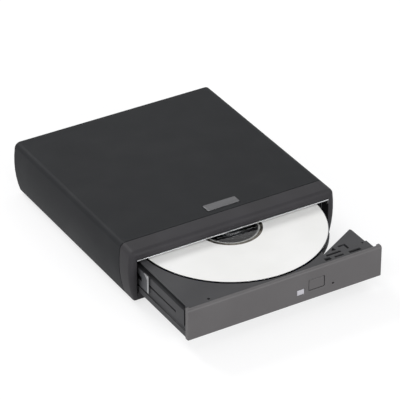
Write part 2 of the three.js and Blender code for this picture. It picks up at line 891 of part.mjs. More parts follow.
const socketMiddleZ = bridgeTop + seat + socketHeight / 2;

function socketShell() {
  const mouth = box(socketX - socketMouthWidth / 2, socketX + socketMouthWidth / 2,
    panelBack - socketMouthDepth, panelBack + over,
    socketMiddleZ - socketMouthHeight / 2, socketMiddleZ + socketMouthHeight / 2);
  return cut(box(...socketBox(0)), mouth);
}

function socketTongue() {
  const back = panelBack - socketMouthDepth + seat;
  return box(socketX - tongueWidth / 2, socketX + tongueWidth / 2, back, back + tongueLength,
    socketMiddleZ - tongueHeight / 2, socketMiddleZ + tongueHeight / 2);
}

function powerJack() {
  return cut(box(...jackBox(0)), cylinderY(
    jackX, panelBack - jackBoreDepth, panelBack + over, socketMiddleZ, jackBore, midSides));
}

function jackPin() {
  const back = panelBack - jackBoreDepth + seat;
  return cylinderY(jackX, back, back + jackPinLength, socketMiddleZ, jackPinRadius);
}

function ribbonCable() {
  const low = tubFloor + ribbonLift;
  const end = connectorStart - seat;
  return box(-ribbonWidth / 2, ribbonWidth / 2, end - ribbonLength, end, low, low + ribbonThickness);
}

// Tray; places on its board are shares of the board, places on its arm shares of the arm
function onBoard([across, deep]) {
  return [
    across * boardRightX - (1 - across) * boardLeftX, deep * boardRear + (1 - deep) * boardFront];
}

function onArm([across, deep]) {
  return [across * armStepX + (1 - across) * armTipX, deep * armLength];
}

function toTray([u, v]) {
  return [u * Math.cos(sledAngle) - v * Math.sin(sledAngle),
    discBack + u * Math.sin(sledAngle) + v * Math.cos(sledAngle)];
}

const trayPosts = boardPostShares.map(onBoard);
const rearPosts = [rearPostInset - traySideX, bodyRightX - rearPostInset].map((x) => [
  x, trayLength - rearPostInset]);
const hookPlaces = hookShares.map((share) => share * bezelHalf);
const earPlaces = [
  [0, -(frameRodSide + earOut)], [earFar, -(frameRodSide + earOut)],
  [0, frameScrewSide + earOut], [earFar, frameScrewSide + earOut]];

function sledBox(u0, u1, v0, v1, z0, z1) {
  return prism([[u0, v0], [u1, v0], [u1, v1], [u0, v1]].map(toTray), z0, z1);
}

function deck() {
  const main = box(-deckLeftX, bodyRightX, frontWallDepth, trayLength, deckBottom, trayTop);
  const corner = box(armTipX, bodyRightX + over, 0, discBack, deckBottom - over, trayTop + over);
  const round = cylinder(0, discBack, deckBottom - 2 * over, trayTop + 2 * over, floorRadius, wideSides);
  const lip = box(-deckLipX, over - deckLeftX, noseStart, trayLength, trayTop - deckLipThickness, trayTop);
  const nose = box(-deckLipX, armStepX, noseStart, frontWallDepth + over, armBottom, trayTop);
  const arm = prism([
    [armTipX - over, frontWallDepth], [armStepX, frontWallDepth], [armStepX, armStepDepth],
    [armX, armStepDepth], [armX, armLength], [armTipX, armTipDepth], [armTipX - over, armTipDepth]],
  armBottom, trayTop);
  const tongueRound = cylinder(0, discBack, deckBottom, wellFloor, wellRadius - slideGap, wideSides);
  const tongue = tongueRound.intersect(
    box(-discRadius, armTipX, noseStart, frontWallDepth + over, deckBottom, trayTop));
  const window = join(
    cylinder(0, discBack, deckBottom - over, trayTop + over, windowRadius, midSides),
    sledBox(0, windowEnd, -windowHalf, windowHalf, deckBottom - over, trayTop + over));
  const well = cylinder(0, discBack, wellFloor, trayTop + over, wellRadius, wideSides);
  return cut(join(cut(main, cut(corner, round)), lip, nose, arm, tongue), well, window);
}

// One side of the tray: its wall, the ledge along the top and the rim along the foot
function traySide(length) {
  const inner = traySideX - bodyWall;
  return join(
    box(inner, traySideX, bezelDepth + sideSlit, length, wallBottom, sideTop),
    box(ledgeInnerX, traySideX, sideFront, length, sideTop - ledgeThickness, sideTop),
    box(inner, rimX, sideFront, length, wallBottom, rimTop),
    box(traySideX, rimX, sideFront, length, trayBottom, rimTop));
}

function trayWalls() {
  const along = new THREE.Vector2(bodyRightX - diagonalStartX, diagonalEndDepth - frontWallDepth);
  const across = along.normalize().multiplyScalar(bodyWall);
  const diagonal = prism([
    [diagonalStartX, frontWallDepth], [bodyRightX, diagonalEndDepth],
    [bodyRightX - across.y, diagonalEndDepth + across.x],
    [diagonalStartX - across.y, frontWallDepth + across.x]], wallBottom, deckBottom + over);
  return [
    diagonal,
    traySide(trayLength).mirror([1, 0, 0]),
    traySide(armLength),
    box(-traySideX, bodyRightX, trayLength - bodyWall, trayLength, wallBottom, sideTop),
    box(bodyRightX - bodyWall, bodyRightX, diagonalEndDepth, trayLength, wallBottom, sideTop),
    box(-traySideX, traySideX, frontWallDepth, wallEnd, wallBottom, sideTop),
    box(-deckLeftX, armStepX, frontWallDepth, wallEnd, wallBottom, armBottom + over),
    box(ledgeInnerX, armX, frontWallDepth, armLength, sideTop - ledgeThickness, armBottom + over)];
}

function trayPillars() {
  const short = trayPosts.flatMap(([x, y]) => [
    cylinder(x, y, boardTop + seat, deckBottom + over, postShoulder),
    cylinder(x, y, wallBottom, boardTop + over, postRadius)]);
  const long = rearPosts.map(([x, y]) => cylinder(x, y, wallBottom, deckBottom + over, postRadius));
  const bossLow = latchBottom + latchThickness + seat;
  return [...short, ...long, cylinder(latchX, latchBack, bossLow, armBottom + over, latchBossRadius)];
}

function trayHoles() {
  const start = frontWallDepth - over;
  const end = wallEnd + over;
  const stemRoom = stemSize / 2 + buttonGap + slideGap;
  const lampRoomX = lampWidth / 2 + lampGap + slideGap;
  const lampRoomZ = lampHeight / 2 + lampGap + slideGap;
  const hookRoom = hookWidth / 2 + slideGap;
  const hookLow = bezelBottom + hookRise;
  const groove = trayBottom + grooveRise;
  return [
    ...[...trayPosts, ...rearPosts].map(([x, y]) => cylinder(
      x, y, wallBottom - over, wallBottom + trayScrewLength, shankRadius + seat, tinySides)),
    ...earPlaces.map(toTray).map(([x, y]) => cylinder(
      x, y, deckBottom - over, wellFloor - tubSheet, shankRadius + seat, tinySides)),
    cylinder(latchX, latchBack, latchBottom - over, armBottom, latchPinRadius + seat, tinySides),
    box(buttonX - stemRoom, buttonX + stemRoom, start, end, buttonZ - stemRoom, buttonZ + stemRoom),
    box(lampX - lampRoomX, lampX + lampRoomX, start, end, lampZ - lampRoomZ, lampZ + lampRoomZ),
    cylinderY(releaseX, start, end, releaseZ, 2 * releaseRadius, tinySides),
    ...hookPlaces.map((x) => box(
      x - hookRoom, x + hookRoom, start, end,
      hookLow - slideGap, hookLow + hookThickness + barbHeight + slideGap)),
    box(-traySideX - over, grooveCut - traySideX, grooveStart, trayLength - grooveRearMargin,
      groove - grooveHeight / 2, groove + grooveHeight / 2)];
}

// Recesses in the top of the nose and the arm: blocks, a wedge and a round dimple
const pocketShares = [
  [0.387, 0.553, 0.483, 0.543], [0.507, 0.56, 0.336, 0.543], [0.467, 0.747, 0.147, 0.238],
  [0.013, 0.353, 0.298, 0.366], [0.127, 0.343, 0.162, 0.226], [-0.1, 0.043, 0.151, 0.257],
  [0.87, 0.91, 0.347, 0.392]];
const wedgeShares = [[0.28, 0.558], [0.303, 0.411], [0.187, 0.438]];

function pockets() {
  const low = trayTop - pocketDepth;
  const high = trayTop + over;
  const blocks = pocketShares.map(([left, right, front, back]) => {
    const [x0, y0] = onArm([left, front]);
    const [x1, y1] = onArm([right, back]);
    return box(x0, x1, y0, y1, low, high);
  });
  const dimple = cylinder(dimpleInset - traySideX, dimpleBack, low, high, dimpleRadius);
  return [...blocks, prism(wedgeShares.map(onArm), low, high), dimple];
}

function tray() {
  return cut(join(deck(), ...trayWalls(), ...trayPillars()), ...trayHoles(), ...pockets());
}

function bezel() {
  const profile = new THREE.Shape();
  profile.absarc(
    bezelBottomRadius, bezelBottom + bezelBottomRadius, bezelBottomRadius, 1.5 * Math.PI, Math.PI, true);
  profile.absarc(bezelTopRadius, bezelTop - bezelTopRadius, bezelTopRadius, Math.PI, Math.PI / 2, true);
  profile.lineTo(bezelDepth, bezelTop);
  profile.lineTo(bezelDepth, bezelBottom);
  const block = alongX(profile, -bezelHalf, bezelHalf);
  const room = box(
    -bezelInner, bezelInner, bezelWall, bezelDepth + over, bezelBottom - over, bezelTop + over);
  const button = alongY(roundedRectangle(buttonX, buttonZ, buttonWidth + 2 * buttonGap,
    buttonHeight + 2 * buttonGap, buttonCorner), -over, bezelWall + over);
  const lamp = box(lampX - lampWidth / 2 - lampGap, lampX + lampWidth / 2 + lampGap, -over, bezelWall + over,
    lampZ - lampHeight / 2 - lampGap, lampZ + lampHeight / 2 + lampGap);
  const release = cylinderY(releaseX, -over, bezelWall + over, releaseZ, releaseRadius);
  const sillHalf = bezelHalf - sideFront;
  const sill = box(-sillHalf, sillHalf, bezelWall / 2, frontWallDepth - sillGap,
    bezelBottom, bezelBottom + bezelReturn);
  const low = bezelBottom + hookRise;
  const high = low + hookThickness;
  const hooks = hookPlaces.map((x) => x - hookWidth / 2).flatMap((x) => [
    box(x, x + hookWidth, bezelWall / 2, hookEnd, low, high),
    box(x, x + hookWidth, hookEnd - barbLength, hookEnd, low, high + barbHeight)]);
  return join(cut(block, room, button, lamp, release), sill, ...hooks);
}

function ejectButton() {
  const flangeX = buttonWidth / 2 + flangeMargin;
  const flangeZ = buttonHeight / 2 + flangeMargin;
  const stemHalf = stemSize / 2;
  const head = alongY(roundedRectangle(buttonX, buttonZ, buttonWidth, buttonHeight, buttonCorner),
    buttonSink, flangeBack + flangeThickness / 2);
  const flange = box(buttonX - flangeX, buttonX + flangeX, flangeBack, flangeBack + flangeThickness,
    buttonZ - flangeZ, buttonZ + flangeZ);
  const stem = box(buttonX - stemHalf, buttonX + stemHalf, flangeBack, stemEnd,
    buttonZ - stemHalf, buttonZ + stemHalf);
  return join(head, flange, stem);
}

function lampWindow() {
  return box(lampX - lampWidth / 2, lampX + lampWidth / 2, 0, lampEnd,
    lampZ - lampHeight / 2, lampZ + lampHeight / 2);
}

function trayCover() {
  const left = seat - traySideX;
  const outline = [
    [left, frontWallDepth], [diagonalStartX, frontWallDepth], [bodyRightX, diagonalEndDepth],
    [bodyRightX, trayLength], [left, trayLength]];
  const plate = prism(outline, trayBottom, trayBottom + coverSheet);
  const holes = [...trayPosts, ...rearPosts].map(([x, y]) => cone(
    x, y, trayBottom - seat, trayBottom + coverSheet + seat, headRadius + seat, shankRadius + seat));
  return cut(plate, ...holes);
}

function trayBoard() {
  const plate = box(-boardLeftX, boardRightX, boardFront, boardRear, boardBottom, boardTop);
  return cut(plate, ...trayPosts.map(([x, y]) => cylinder(
    x, y, boardBottom - over, boardTop + over, postRadius + seat)));
}

function chip(acrossShare, size) {
  const [x, y] = onBoard([acrossShare, chipBackShare]);
  const low = boardTop + seat / 2;
  return box(x - size / 2, x + size / 2, y - size / 2, y + size / 2, low, low + chipHeight);
}

function ejectSwitch() {
  const half = switchWidth / 2;
  const body = box(buttonX - half, buttonX + half, switchStart, switchStart + switchDepth,
    boardTop + seat / 2, buttonZ + plungerRadius);
  return join(body, cylinderY(
    buttonX, switchStart - plungerReach, switchStart + plungerReach, buttonZ, plungerRadius, tinySides));
}

function statusLamp() {
  const start = lampEnd + slideGap + seat;
  return box(lampX - ledWidth / 2, lampX + ledWidth / 2, start, start + ledDepth,
    boardTop + seat / 2, lampZ + lampHeight / 2);
}

// Latch
function latchPin() {
  const neck = latchBottom - seat;
  return join(
    cylinder(latchX, latchBack, neck - tubSheet, neck, latchPinRadius + tubSheet),
    cylinder(latchX, latchBack, neck - tubSheet / 2, armBottom - seat, latchPinRadius, tinySides));
}

function latchLever() {
  const top = latchBottom + latchThickness;
  const tipBack = latchPostBack + latchPostRadius + latchCatchGap;
  const left = latchX - latchArmWidth / 2;
  const boss = cylinder(latchX, latchBack, latchBottom, top, latchBossRadius);
  const arm = box(left, left + latchArmWidth, latchBack, tipBack + latchTipThickness, latchBottom, top);
  const tip = box(
    left, latchPostX + latchPostRadius / 2, tipBack, tipBack + latchTipThickness, latchBottom, top);
  const hole = cylinder(
    latchX, latchBack, latchBottom - over, top + over, latchPinRadius + slideGap, tinySides);
  const slot = box(latchX - linkPinRadius - slideGap, latchX + linkPinRadius + slideGap,
    linkBack - linkSlotHalf, linkBack + linkSlotHalf, latchBottom - over, top + over);
  return cut(join(boss, arm, tip), hole, slot);
}

const plungerZ = latchBottom - slideGap - plungerRodRadius;

function solenoid() {
  const body = box(solenoidX, solenoidX + solenoidLength, linkBack - solenoidDepth / 2,
    linkBack + solenoidDepth / 2, plungerZ - solenoidHeight / 2, plungerZ + solenoidHeight / 2);
  return cut(body, cylinderX(solenoidX + bodyWall, solenoidX + solenoidLength + over, linkBack, plungerZ,
    plungerRodRadius + slideGap, tinySides));
}

function solenoidPlunger() {
  const rod = cylinderX(solenoidX + 2 * bodyWall, latchX + plungerRodRadius, linkBack, plungerZ,
    plungerRodRadius, tinySides);
  return join(rod, cylinder(
    latchX, linkBack, plungerZ, latchBottom + latchThickness, linkPinRadius, tinySides));
}

// Spindle and sled, in the sled's own axes with the spindle at the origin
const sledMotorEnd = frameEnd - frameWall - seat;
const sledMotorStart = sledMotorEnd - sledMotorLength;
const farRod = [farRodV, rodRadius];
const nearRod = [nearRodV, rodRadius];
const leadScrew = [screwV, screwRadius];

function sledFrame() {
  const plate = box(-frameRodSide, frameEnd, -frameRodSide, frameScrewSide, frameBottom, frameTop);
  const low = frameBottom - motorBaseDrop;
  const walls = [
    box(rodBlockStart, frameEnd, -frameRodSide, -frameRodSide + frameWall, low, frameTop),
    box(rodBlockStart, frameEnd, frameScrewSide - frameWall, frameScrewSide, low, frameTop),
    box(frameEnd - frameWall, frameEnd, -frameRodSide, frameScrewSide, low, frameTop)];
  const blocks = [farRodV, nearRodV, screwV].map((v) => box(
    rodBlockStart, rodBlockEnd, v - rodBlockWidth / 2, v + rodBlockWidth / 2,
    rodZ - rodBlockWidth / 2, frameTop));
  const ears = earPlaces.flatMap(([u, v]) => [
    cylinder(u, v, frameBottom, frameTop, earRadius),
    box(u - earRadius, u + earRadius, Math.min(v, 0), Math.max(v, 0), frameBottom, frameTop)]);
  const window = box(rodBlockEnd, frameEnd - 2 * frameWall, -windowHalf, windowHalf,
    frameBottom - over, frameTop + over);
  const motorRoom = sledMotorRadius + slideGap;
  const motorSlot = box(
    sledMotorStart - slideGap, frameEnd - frameWall, screwV - motorRoom, screwV + motorRoom,
    frameBottom - over, frameTop + over);
  const holes = earPlaces.map(([u, v]) => cylinder(
    u, v, frameBottom - over, frameTop + over, shankRadius + seat, tinySides));
  const bores = [farRod, nearRod, leadScrew].map(([v, radius]) => cylinderX(
    rodBlockStart + rodBlockBack, frameEnd - frameWall / 2, v, rodZ, radius + seat));
  return cut(join(plate, ...ears, ...walls, ...blocks),
    cylinder(0, 0, low - over, frameTop + over, motorHole, midSides),
    window, motorSlot, ...holes, ...bores);
}

function damper([u, v]) {
  const low = frameTop + seat;
  return cut(
    cylinder(u, v, low, low + damperHeight, damperRadius),
    cylinder(u, v, low - over, low + damperHeight + over, shankRadius + seat, tinySides));
}

function motorBase() {
  const plate = cylinder(0, 0, motorBaseLow, motorBaseTop, motorBaseRadius, midSides);
  const posts = [Math.PI, motorPostAngle, -motorPostAngle].map((angle) => cylinder(
    motorPostReach * Math.cos(angle), motorPostReach * Math.sin(angle), motorBaseLow, frameBottom - seat,
    motorPostRadius, tinySides));
  const tube = cylinder(0, 0, motorBaseLow, motorBaseTop + statorHeight, bearingRadius);
  const bore = cylinder(0, 0, motorBaseTop, motorBaseTop + statorHeight + over, shaftRadius + seat);
  return cut(join(plate, tube, ...posts), bore);
}

function statorCore() {
  const low = motorBaseTop + seat;
  const high = motorBaseTop + statorHeight - seat;
  const reach = statorRadius + bearingRadius / 2;
  const slots = [];
  for (let i = 0; i < statorTeeth; i += 1) {
    const angle = 2 * Math.PI * i / statorTeeth;
    slots.push(cylinder(
      reach * Math.cos(angle), reach * Math.sin(angle), low - over, high + over, bearingRadius, tinySides));
  }
  return cut(cylinder(0, 0, low, high, statorRadius, midSides),
    cylinder(0, 0, low - over, high + over, bearingRadius + seat), ...slots);
}

const cupLow = motorBaseTop + slideGap;
const cupHigh = cupLow + cupHeight;

function rotorCup() {
  const body = cylinder(0, 0, cupLow, cupHigh, motorRadius, midSides);
  const room = cylinder(0, 0, cupLow - over, cupHigh - cupTop, motorRadius - cupWall, midSides);
  const shaft = cylinder(0, 0, motorBaseTop + seat, cupHigh, shaftRadius);
  return join(cut(body, room), shaft);
}

function turntable() {
  const flangeTop = discBottom - seat / 2;
  const crown = discTop + centringRise;
  const coreRadius = bearingRadius + coreMargin;
  const core = lathe([
    [0, cupHigh + seat], [coreRadius, cupHigh + seat], [coreRadius, flangeTop - turntableThickness],
    [turntableRadius, flangeTop - turntableThickness], [turntableRadius, flangeTop],
    [centringRadius, flangeTop], [centringRadius, discTop], [crownRadius, crown], [0, crown]], midSides);
  const claws = [];
  for (let i = 0; i < clawCount; i += 1) {
    claws.push(claw(2 * Math.PI * i / clawCount));
  }
  return join(core, ...claws);
}

function claw(angle) {
  const low = discTop + seat / 2;
  const inner = clawReach - clawDepth;
  const half = clawWidth / 2;
  const turn = ([u, v]) => [
    u * Math.cos(angle) - v * Math.sin(angle), u * Math.sin(angle) + v * Math.cos(angle)];
  return prism([[inner, -half], [clawReach, -half], [clawReach, half], [inner, half]].map(turn),
    low, low + clawHeight);
}

function disc() {
  return lathe([
    [discHole, discBottom], [discRadius, discBottom], [discRadius, discTop], [discHole, discTop],
    [discHole, discBottom]], wideSides);
}

function sledRod(v) {
  const start = rodBlockStart + rodBlockBack + seat;
  return cylinderX(start, frameEnd - frameWall - seat, v, rodZ, rodRadius);
}

function leadScrewBody() {
  return cylinderX(rodBlockStart + rodBlockBack + seat, sledMotorStart - seat, screwV, rodZ, screwRadius);
}

function sledMotor() {
  return cylinderX(sledMotorStart, sledMotorEnd, screwV, rodZ, sledMotorRadius, midSides);
}

const pickupTop = frameBottom - pickupDrop;
const turretTop = discBottom - turretClear;

function pickup() {
  const low = pickupTop - pickupHeight;
  const body = box(pickupStart, pickupEnd, pickupFarV, pickupNearV, low, pickupTop);
  const finger = box(pickupStart, pickupStart + fingerLength, pickupNearV - over,
    screwV + screwRadius + slideGap, low, rodZ - screwRadius - slideGap);
  const turret = box(lensRest - turretHalf, lensRest + turretHalf, -turretHalfV, turretHalfV,
    pickupTop - over, turretTop);
  const bores = [farRodV, nearRodV].map((v) => cylinderX(
    pickupStart - over, pickupEnd + over, v, rodZ, rodRadius + slideGap));
  const lensRoom = cylinder(lensRest, 0, turretTop - lensSink, turretTop + over, lensRadius + seat);
  return cut(join(body, finger, turret), ...bores, lensRoom);
}

function objectiveLens() {
  const low = turretTop - lensSink + seat;
  const rim = low + lensSink;
  const lens = lathe([
    [0, low], [lensRadius, low], [lensRadius, rim], [lensShoulderRadius, rim + lensShoulderRise],
    [0, rim + lensDomeRise]], smallSides);
  return lens.translate([lensRest, 0, 0]);
}

// Assembly
const drive = new THREE.Group();
const housing = new THREE.Group();
housing.position.y = caseFrontY;
const sliding = new THREE.Group();
sliding.position.y = bezelFrontY;
const sled = new THREE.Group();
sled.position.y = discBack;
sled.rotation.z = sledAngle;
sliding.add(sled);
drive.add(housing, sliding);

node(housing, "top_cover", topCover(), coverPaint);
node(housing, "front_frame", frontFrame(), framePaint);
node(housing, "bottom_cover", bottomCover(), coverPaint);
node(housing, "rear_panel", rearPanel(), coverPaint);
node(housing, "badge_plate", badgePlate(), sheetSteel);
["front_left", "front_right", "rear_left", "rear_right"].forEach((place, i) => {
  node(housing, `foot_${place}`, foot(...footPlaces[i]), rubber);
  node(housing, `case_screw_${place}`, screw(...caseScrewPlaces[i], screwStart, caseScrewLength), darkSteel);
});
node(housing, "drive_tub", driveTub(), sheetSteel);
node(housing, "drive_lid", driveLid(), sheetSteel);
node(housing, "latch_post", latchPost(), brightSteel);
node(housing, "rail_guide_left", leftGuide(), blackPlastic);
node(housing, "rail_guide_right", rightGuide(), blackPlastic);
const railOut = railShare * trayOut;
node(housing, "rail_left", rail(-railInnerX - railThickness, railLeftStart - railOut), brightSteel);
node(housing, "rail_right", rail(bodyRightX + slideGap, railRightStart - railOut), brightSteel);
node(housing, "bridge_board", bridgeBoard(), boardLacquer);
node(housing, "bridge_chip", onBridge(bridgeChipX, bridgeChipBack, bridgeChipSize, chipHeight), chipResin);
node(housing, "capacitor_near", capacitor(capacitorX), blackPlastic);
node(housing, "capacitor_far", capacitor(capacitorX - capacitorStep), blackPlastic);
node(housing, "drive_connector", driveConnector(), blackPlastic);
node(housing, "usb_socket", socketShell(), brightSteel);
node(housing, "usb_tongue", socketTongue(), paleLens);
node(housing, "power_jack", powerJack(), blackPlastic);
node(housing, "power_pin", jackPin(), brass);
node(housing, "ribbon_cable", ribbonCable(), amberFilm);
node(sliding, "tray", tray(), trayPlastic);
node(sliding, "tray_bezel", bezel(), bezelPaint);
node(sliding, "eject_button", ejectButton(), bezelPaint);
node(sliding, "lamp_window", lampWindow(), paleLens);
node(sliding, "tray_cover", trayCover(), sheetSteel);
node(sliding, "tray_board", trayBoard(), boardLacquer);
node(sliding, "controller_chip", chip(controllerShare, controllerSize), chipResin);
node(sliding, "driver_chip", chip(driverShare, driverSize), chipResin);
node(sliding, "eject_switch", ejectSwitch(), blackPlastic);
node(sliding, "status_lamp", statusLamp(), paleLens);
node(sliding, "latch_pin", latchPin(), brightSteel);
node(sliding, "latch_lever", latchLever(), blackPlastic);
node(sliding, "eject_solenoid", solenoid(), copper);
node(sliding, "solenoid_plunger", solenoidPlunger(), brightSteel);
node(sled, "sled_frame", sledFrame(), darkSteel);
["inner_far", "outer_far", "inner_near", "outer_near"].forEach((place, i) => {
  node(sled, `damper_${place}`, damper(earPlaces[i]), rubber);
});
node(sled, "motor_base", motorBase(), darkSteel);
node(sled, "stator_core", statorCore(), copper);
node(sled, "rotor_cup", rotorCup(), brightSteel);
node(sled, "turntable", turntable(), blackPlastic);
node(sled, "disc", disc(), discWhite);
node(sled, "guide_rod_far", sledRod(farRodV), brightSteel);
node(sled, "guide_rod_near", sledRod(nearRodV), brightSteel);
node(sled, "lead_screw", leadScrewBody(), brass);
node(sled, "sled_motor", sledMotor(), darkSteel);
node(sled, "optical_pickup", pickup(), darkSteel);
node(sled, "objective_lens", objectiveLens(), paleLens);

export default drive;
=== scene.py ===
import bpy
import bmesh
import json
import math
from mathutils import Matrix, Vector


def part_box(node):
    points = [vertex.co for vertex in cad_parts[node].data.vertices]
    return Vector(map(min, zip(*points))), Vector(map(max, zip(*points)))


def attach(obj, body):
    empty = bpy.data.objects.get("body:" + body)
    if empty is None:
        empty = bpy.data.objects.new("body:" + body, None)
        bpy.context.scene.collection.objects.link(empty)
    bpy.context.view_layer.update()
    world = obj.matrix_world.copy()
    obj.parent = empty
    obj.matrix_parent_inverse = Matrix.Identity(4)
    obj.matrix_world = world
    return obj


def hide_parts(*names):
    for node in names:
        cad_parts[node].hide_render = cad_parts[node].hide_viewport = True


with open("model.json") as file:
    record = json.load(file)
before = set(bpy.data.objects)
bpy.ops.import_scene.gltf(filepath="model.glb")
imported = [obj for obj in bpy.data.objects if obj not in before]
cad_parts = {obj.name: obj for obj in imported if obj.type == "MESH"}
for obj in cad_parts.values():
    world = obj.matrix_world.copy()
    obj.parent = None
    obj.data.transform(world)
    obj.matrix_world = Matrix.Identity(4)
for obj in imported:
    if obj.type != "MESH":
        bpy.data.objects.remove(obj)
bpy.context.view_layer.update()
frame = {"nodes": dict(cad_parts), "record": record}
print("frame loaded:", len(frame["nodes"]), "nodes")

mm = 0.001
bodyOf = {node: body for body, nodes in frame["record"]["behaviour"]["bodies"].items() for node in nodes}
slotOf = {row["node"]: row["material_slot"] for row in frame["record"]["subparts"]}


def toLinear(red, green, blue):
    channels = [value / 255 for value in (red, green, blue)]
    return tuple(c / 12.92 if c <= 0.04045 else ((c + 0.055) / 1.055) ** 2.4 for c in channels) + (1.0,)


# Camera: a long lens from the front left, well above the desk
cameraSettings = {
    "azimuth": -30.78,        # degrees round from straight in front
    "elevation": 32.01,
    "roll": 0.04,
    "distance": 1656.18,      # mm from the aim point
    "focalPixels": 2633.6,    # focal length over the 400 pixel frame
    "framePixels": 400,
    "sensor": 36,             # mm
    "clip": (0.05, 20),       # m
    "aside": 17.29,           # mm that the camera stands right of and above the aim point
    "above": 8.66,
    "aim": (0.0, 29.5, 2.0),  # mm
}


def addCamera(settings):
    azimuth, elevation = math.radians(settings["azimuth"]), math.radians(settings["elevation"])
    back = Vector((math.sin(azimuth) * math.cos(elevation), -math.cos(azimuth) * math.cos(elevation),
                   math.sin(elevation)))
    right = Vector((math.cos(azimuth), math.sin(azimuth), 0))
    up = back.cross(right)
    place = Vector(settings["aim"]) + right * settings["aside"] + up * settings["above"]
    place += back * settings["distance"]
    data = bpy.data.cameras.new("camera")
    data.sensor_width = settings["sensor"]
    data.lens = settings["focalPixels"] * settings["sensor"] / settings["framePixels"]
    data.clip_start, data.clip_end = settings["clip"]
    camera = bpy.data.objects.new("camera", data)
    bpy.context.scene.collection.objects.link(camera)
    roll = Matrix.Rotation(math.radians(settings["roll"]), 3, "Z")
    turn = Matrix((right, up, back)).transposed() @ roll
    camera.matrix_world = Matrix.Translation(place * mm) @ turn.to_4x4()
    bpy.context.scene.camera = camera


addCamera(cameraSettings)
print("camera placed")


# Node helpers
def setInputs(node, values):
    for label, value in values.items():
        node.inputs[label].default_value = value


def addNode(tree, kind, inputs=None, **values):
    node = tree.nodes.new(kind)
    for name, value in values.items():
        setattr(node, name, value)
    setInputs(node, inputs or {})
    return node


# A socket gets either a link or a plain value
def feed(tree, socket, value):
    if isinstance(value, bpy.types.NodeSocket):
        tree.links.new(value, socket)
    else:
        socket.default_value = value


def mixColours(tree, factor, first, second):
    mix = addNode(tree, "ShaderNodeMix", data_type="RGBA")
    for index, value in ((0, factor), (6, first), (7, second)):    # the factor and colours of an RGBA mix
        feed(tree, mix.inputs[index], value)
    return mix.outputs[2]


def spread(tree, value, low, high, start=0.0, end=1.0):
    ramp = addNode(tree, "ShaderNodeMapRange", {"From Min": start, "From Max": end, "To Min": low, "To Max": high})
    tree.links.new(value, ramp.inputs["Value"])
    return ramp.outputs["Result"]


def calculate(tree, operation, *values, clamp=False):
    node = addNode(tree, "ShaderNodeMath", operation=operation, use_clamp=clamp)
    for socket, value in zip(node.inputs, values):
        feed(tree, socket, value)
    return node.outputs[0]


def objectPlace(tree):
    return addNode(tree, "ShaderNodeTexCoord").outputs["Object"]


def addTexture(tree, kind, place, scale, inputs=None, **values):
    node = addNode(tree, kind, inputs, **values)
    tree.links.new(place, node.inputs["Vector"])
    feed(tree, node.inputs["Scale"], scale)
    return node


def newGroup(name, inputs, outputs):
    tree = bpy.data.node_groups.new(name, "ShaderNodeTree")
    for label, value in inputs.items():
        kind = "NodeSocketVector" if isinstance(value, tuple) else "NodeSocketFloat"
        tree.interface.new_socket(name=label, in_out="INPUT", socket_type=kind).default_value = value
    for label in outputs:
        tree.interface.new_socket(name=label, in_out="OUTPUT", socket_type="NodeSocketFloat")
    return tree, addNode(tree, "NodeGroupInput").outputs, addNode(tree, "NodeGroupOutput").inputs


# Moulded grain: the fine sparkle of a spark-eroded mould, with slow mottling under it
grainShape = {"grain": {"Detail": 3, "Roughness": 0.6}, "mottle": {"Detail": 2}, "pits": 0.5, "tone": (-0.4, 1.4)}


def makeMouldedGrain(shape):
    tree, given, out = newGroup("mouldedGrain", {"Grain Scale": 2600.0, "Mottle Scale": 45.0},
                                ("Height", "Tone", "Gloss"))
    place = objectPlace(tree)
    grain = addTexture(tree, "ShaderNodeTexNoise", place, given["Grain Scale"], shape["grain"]).outputs["Fac"]
    pits = addTexture(tree, "ShaderNodeTexVoronoi", place, given["Grain Scale"], feature="SMOOTH_F1")
    mottle = addTexture(tree, "ShaderNodeTexNoise", place, given["Mottle Scale"], shape["mottle"])
    tree.links.new(calculate(tree, "MULTIPLY_ADD", pits.outputs["Distance"], shape["pits"], grain), out["Height"])
    tree.links.new(spread(tree, mottle.outputs["Fac"], *shape["tone"]), out["Tone"])
    tree.links.new(grain, out["Gloss"])
    return tree


# Brushed lines: streaks drawn out along one direction
lineShape = {"noise": {"Detail": 4, "Roughness": 0.7}, "tone": (-0.7, 1.7)}


def makeBrushedLines(shape):
    tree, given, out = newGroup("brushedLines", {"Stretch": (2500.0, 60.0, 2500.0)}, ("Height", "Tone"))
    scaled = addNode(tree, "ShaderNodeVectorMath", operation="MULTIPLY")
    tree.links.new(objectPlace(tree), scaled.inputs[0])
    tree.links.new(given["Stretch"], scaled.inputs[1])
    lines = addTexture(tree, "ShaderNodeTexNoise", scaled.outputs[0], 1, shape["noise"]).outputs["Fac"]
    tree.links.new(lines, out["Height"])
    tree.links.new(spread(tree, lines, *shape["tone"]), out["Tone"])
    return tree


# Edge wear: where a small rounding turns the surface, broken up by noise
wearShape = {"samples": 4, "strength": 6.0}


def makeEdgeWear(shape):
    tree, given, out = newGroup("edgeWear", {"Width": 0.0004, "Breakup Scale": 400.0}, ("Mask",))
    rounded = addNode(tree, "ShaderNodeBevel", samples=shape["samples"])
    tree.links.new(given["Width"], rounded.inputs["Radius"])
    turn = addNode(tree, "ShaderNodeVectorMath", operation="DOT_PRODUCT")
    tree.links.new(rounded.outputs["Normal"], turn.inputs[0])
    tree.links.new(addNode(tree, "ShaderNodeNewGeometry").outputs["Normal"], turn.inputs[1])
    away = calculate(tree, "SUBTRACT", 1.0, turn.outputs["Value"])
    breakup = addTexture(tree, "ShaderNodeTexNoise", objectPlace(tree), given["Breakup Scale"])
    strong = calculate(tree, "MULTIPLY", away, shape["strength"], clamp=True)
    tree.links.new(calculate(tree, "MULTIPLY", strong, breakup.outputs["Fac"]), out["Mask"])
    return tree


# Handling marks: soft patches where fingers polish a surface
handlingShape = {"noise": {"Detail": 5, "Distortion": 0.6}, "start": 0.5, "end": 0.75}


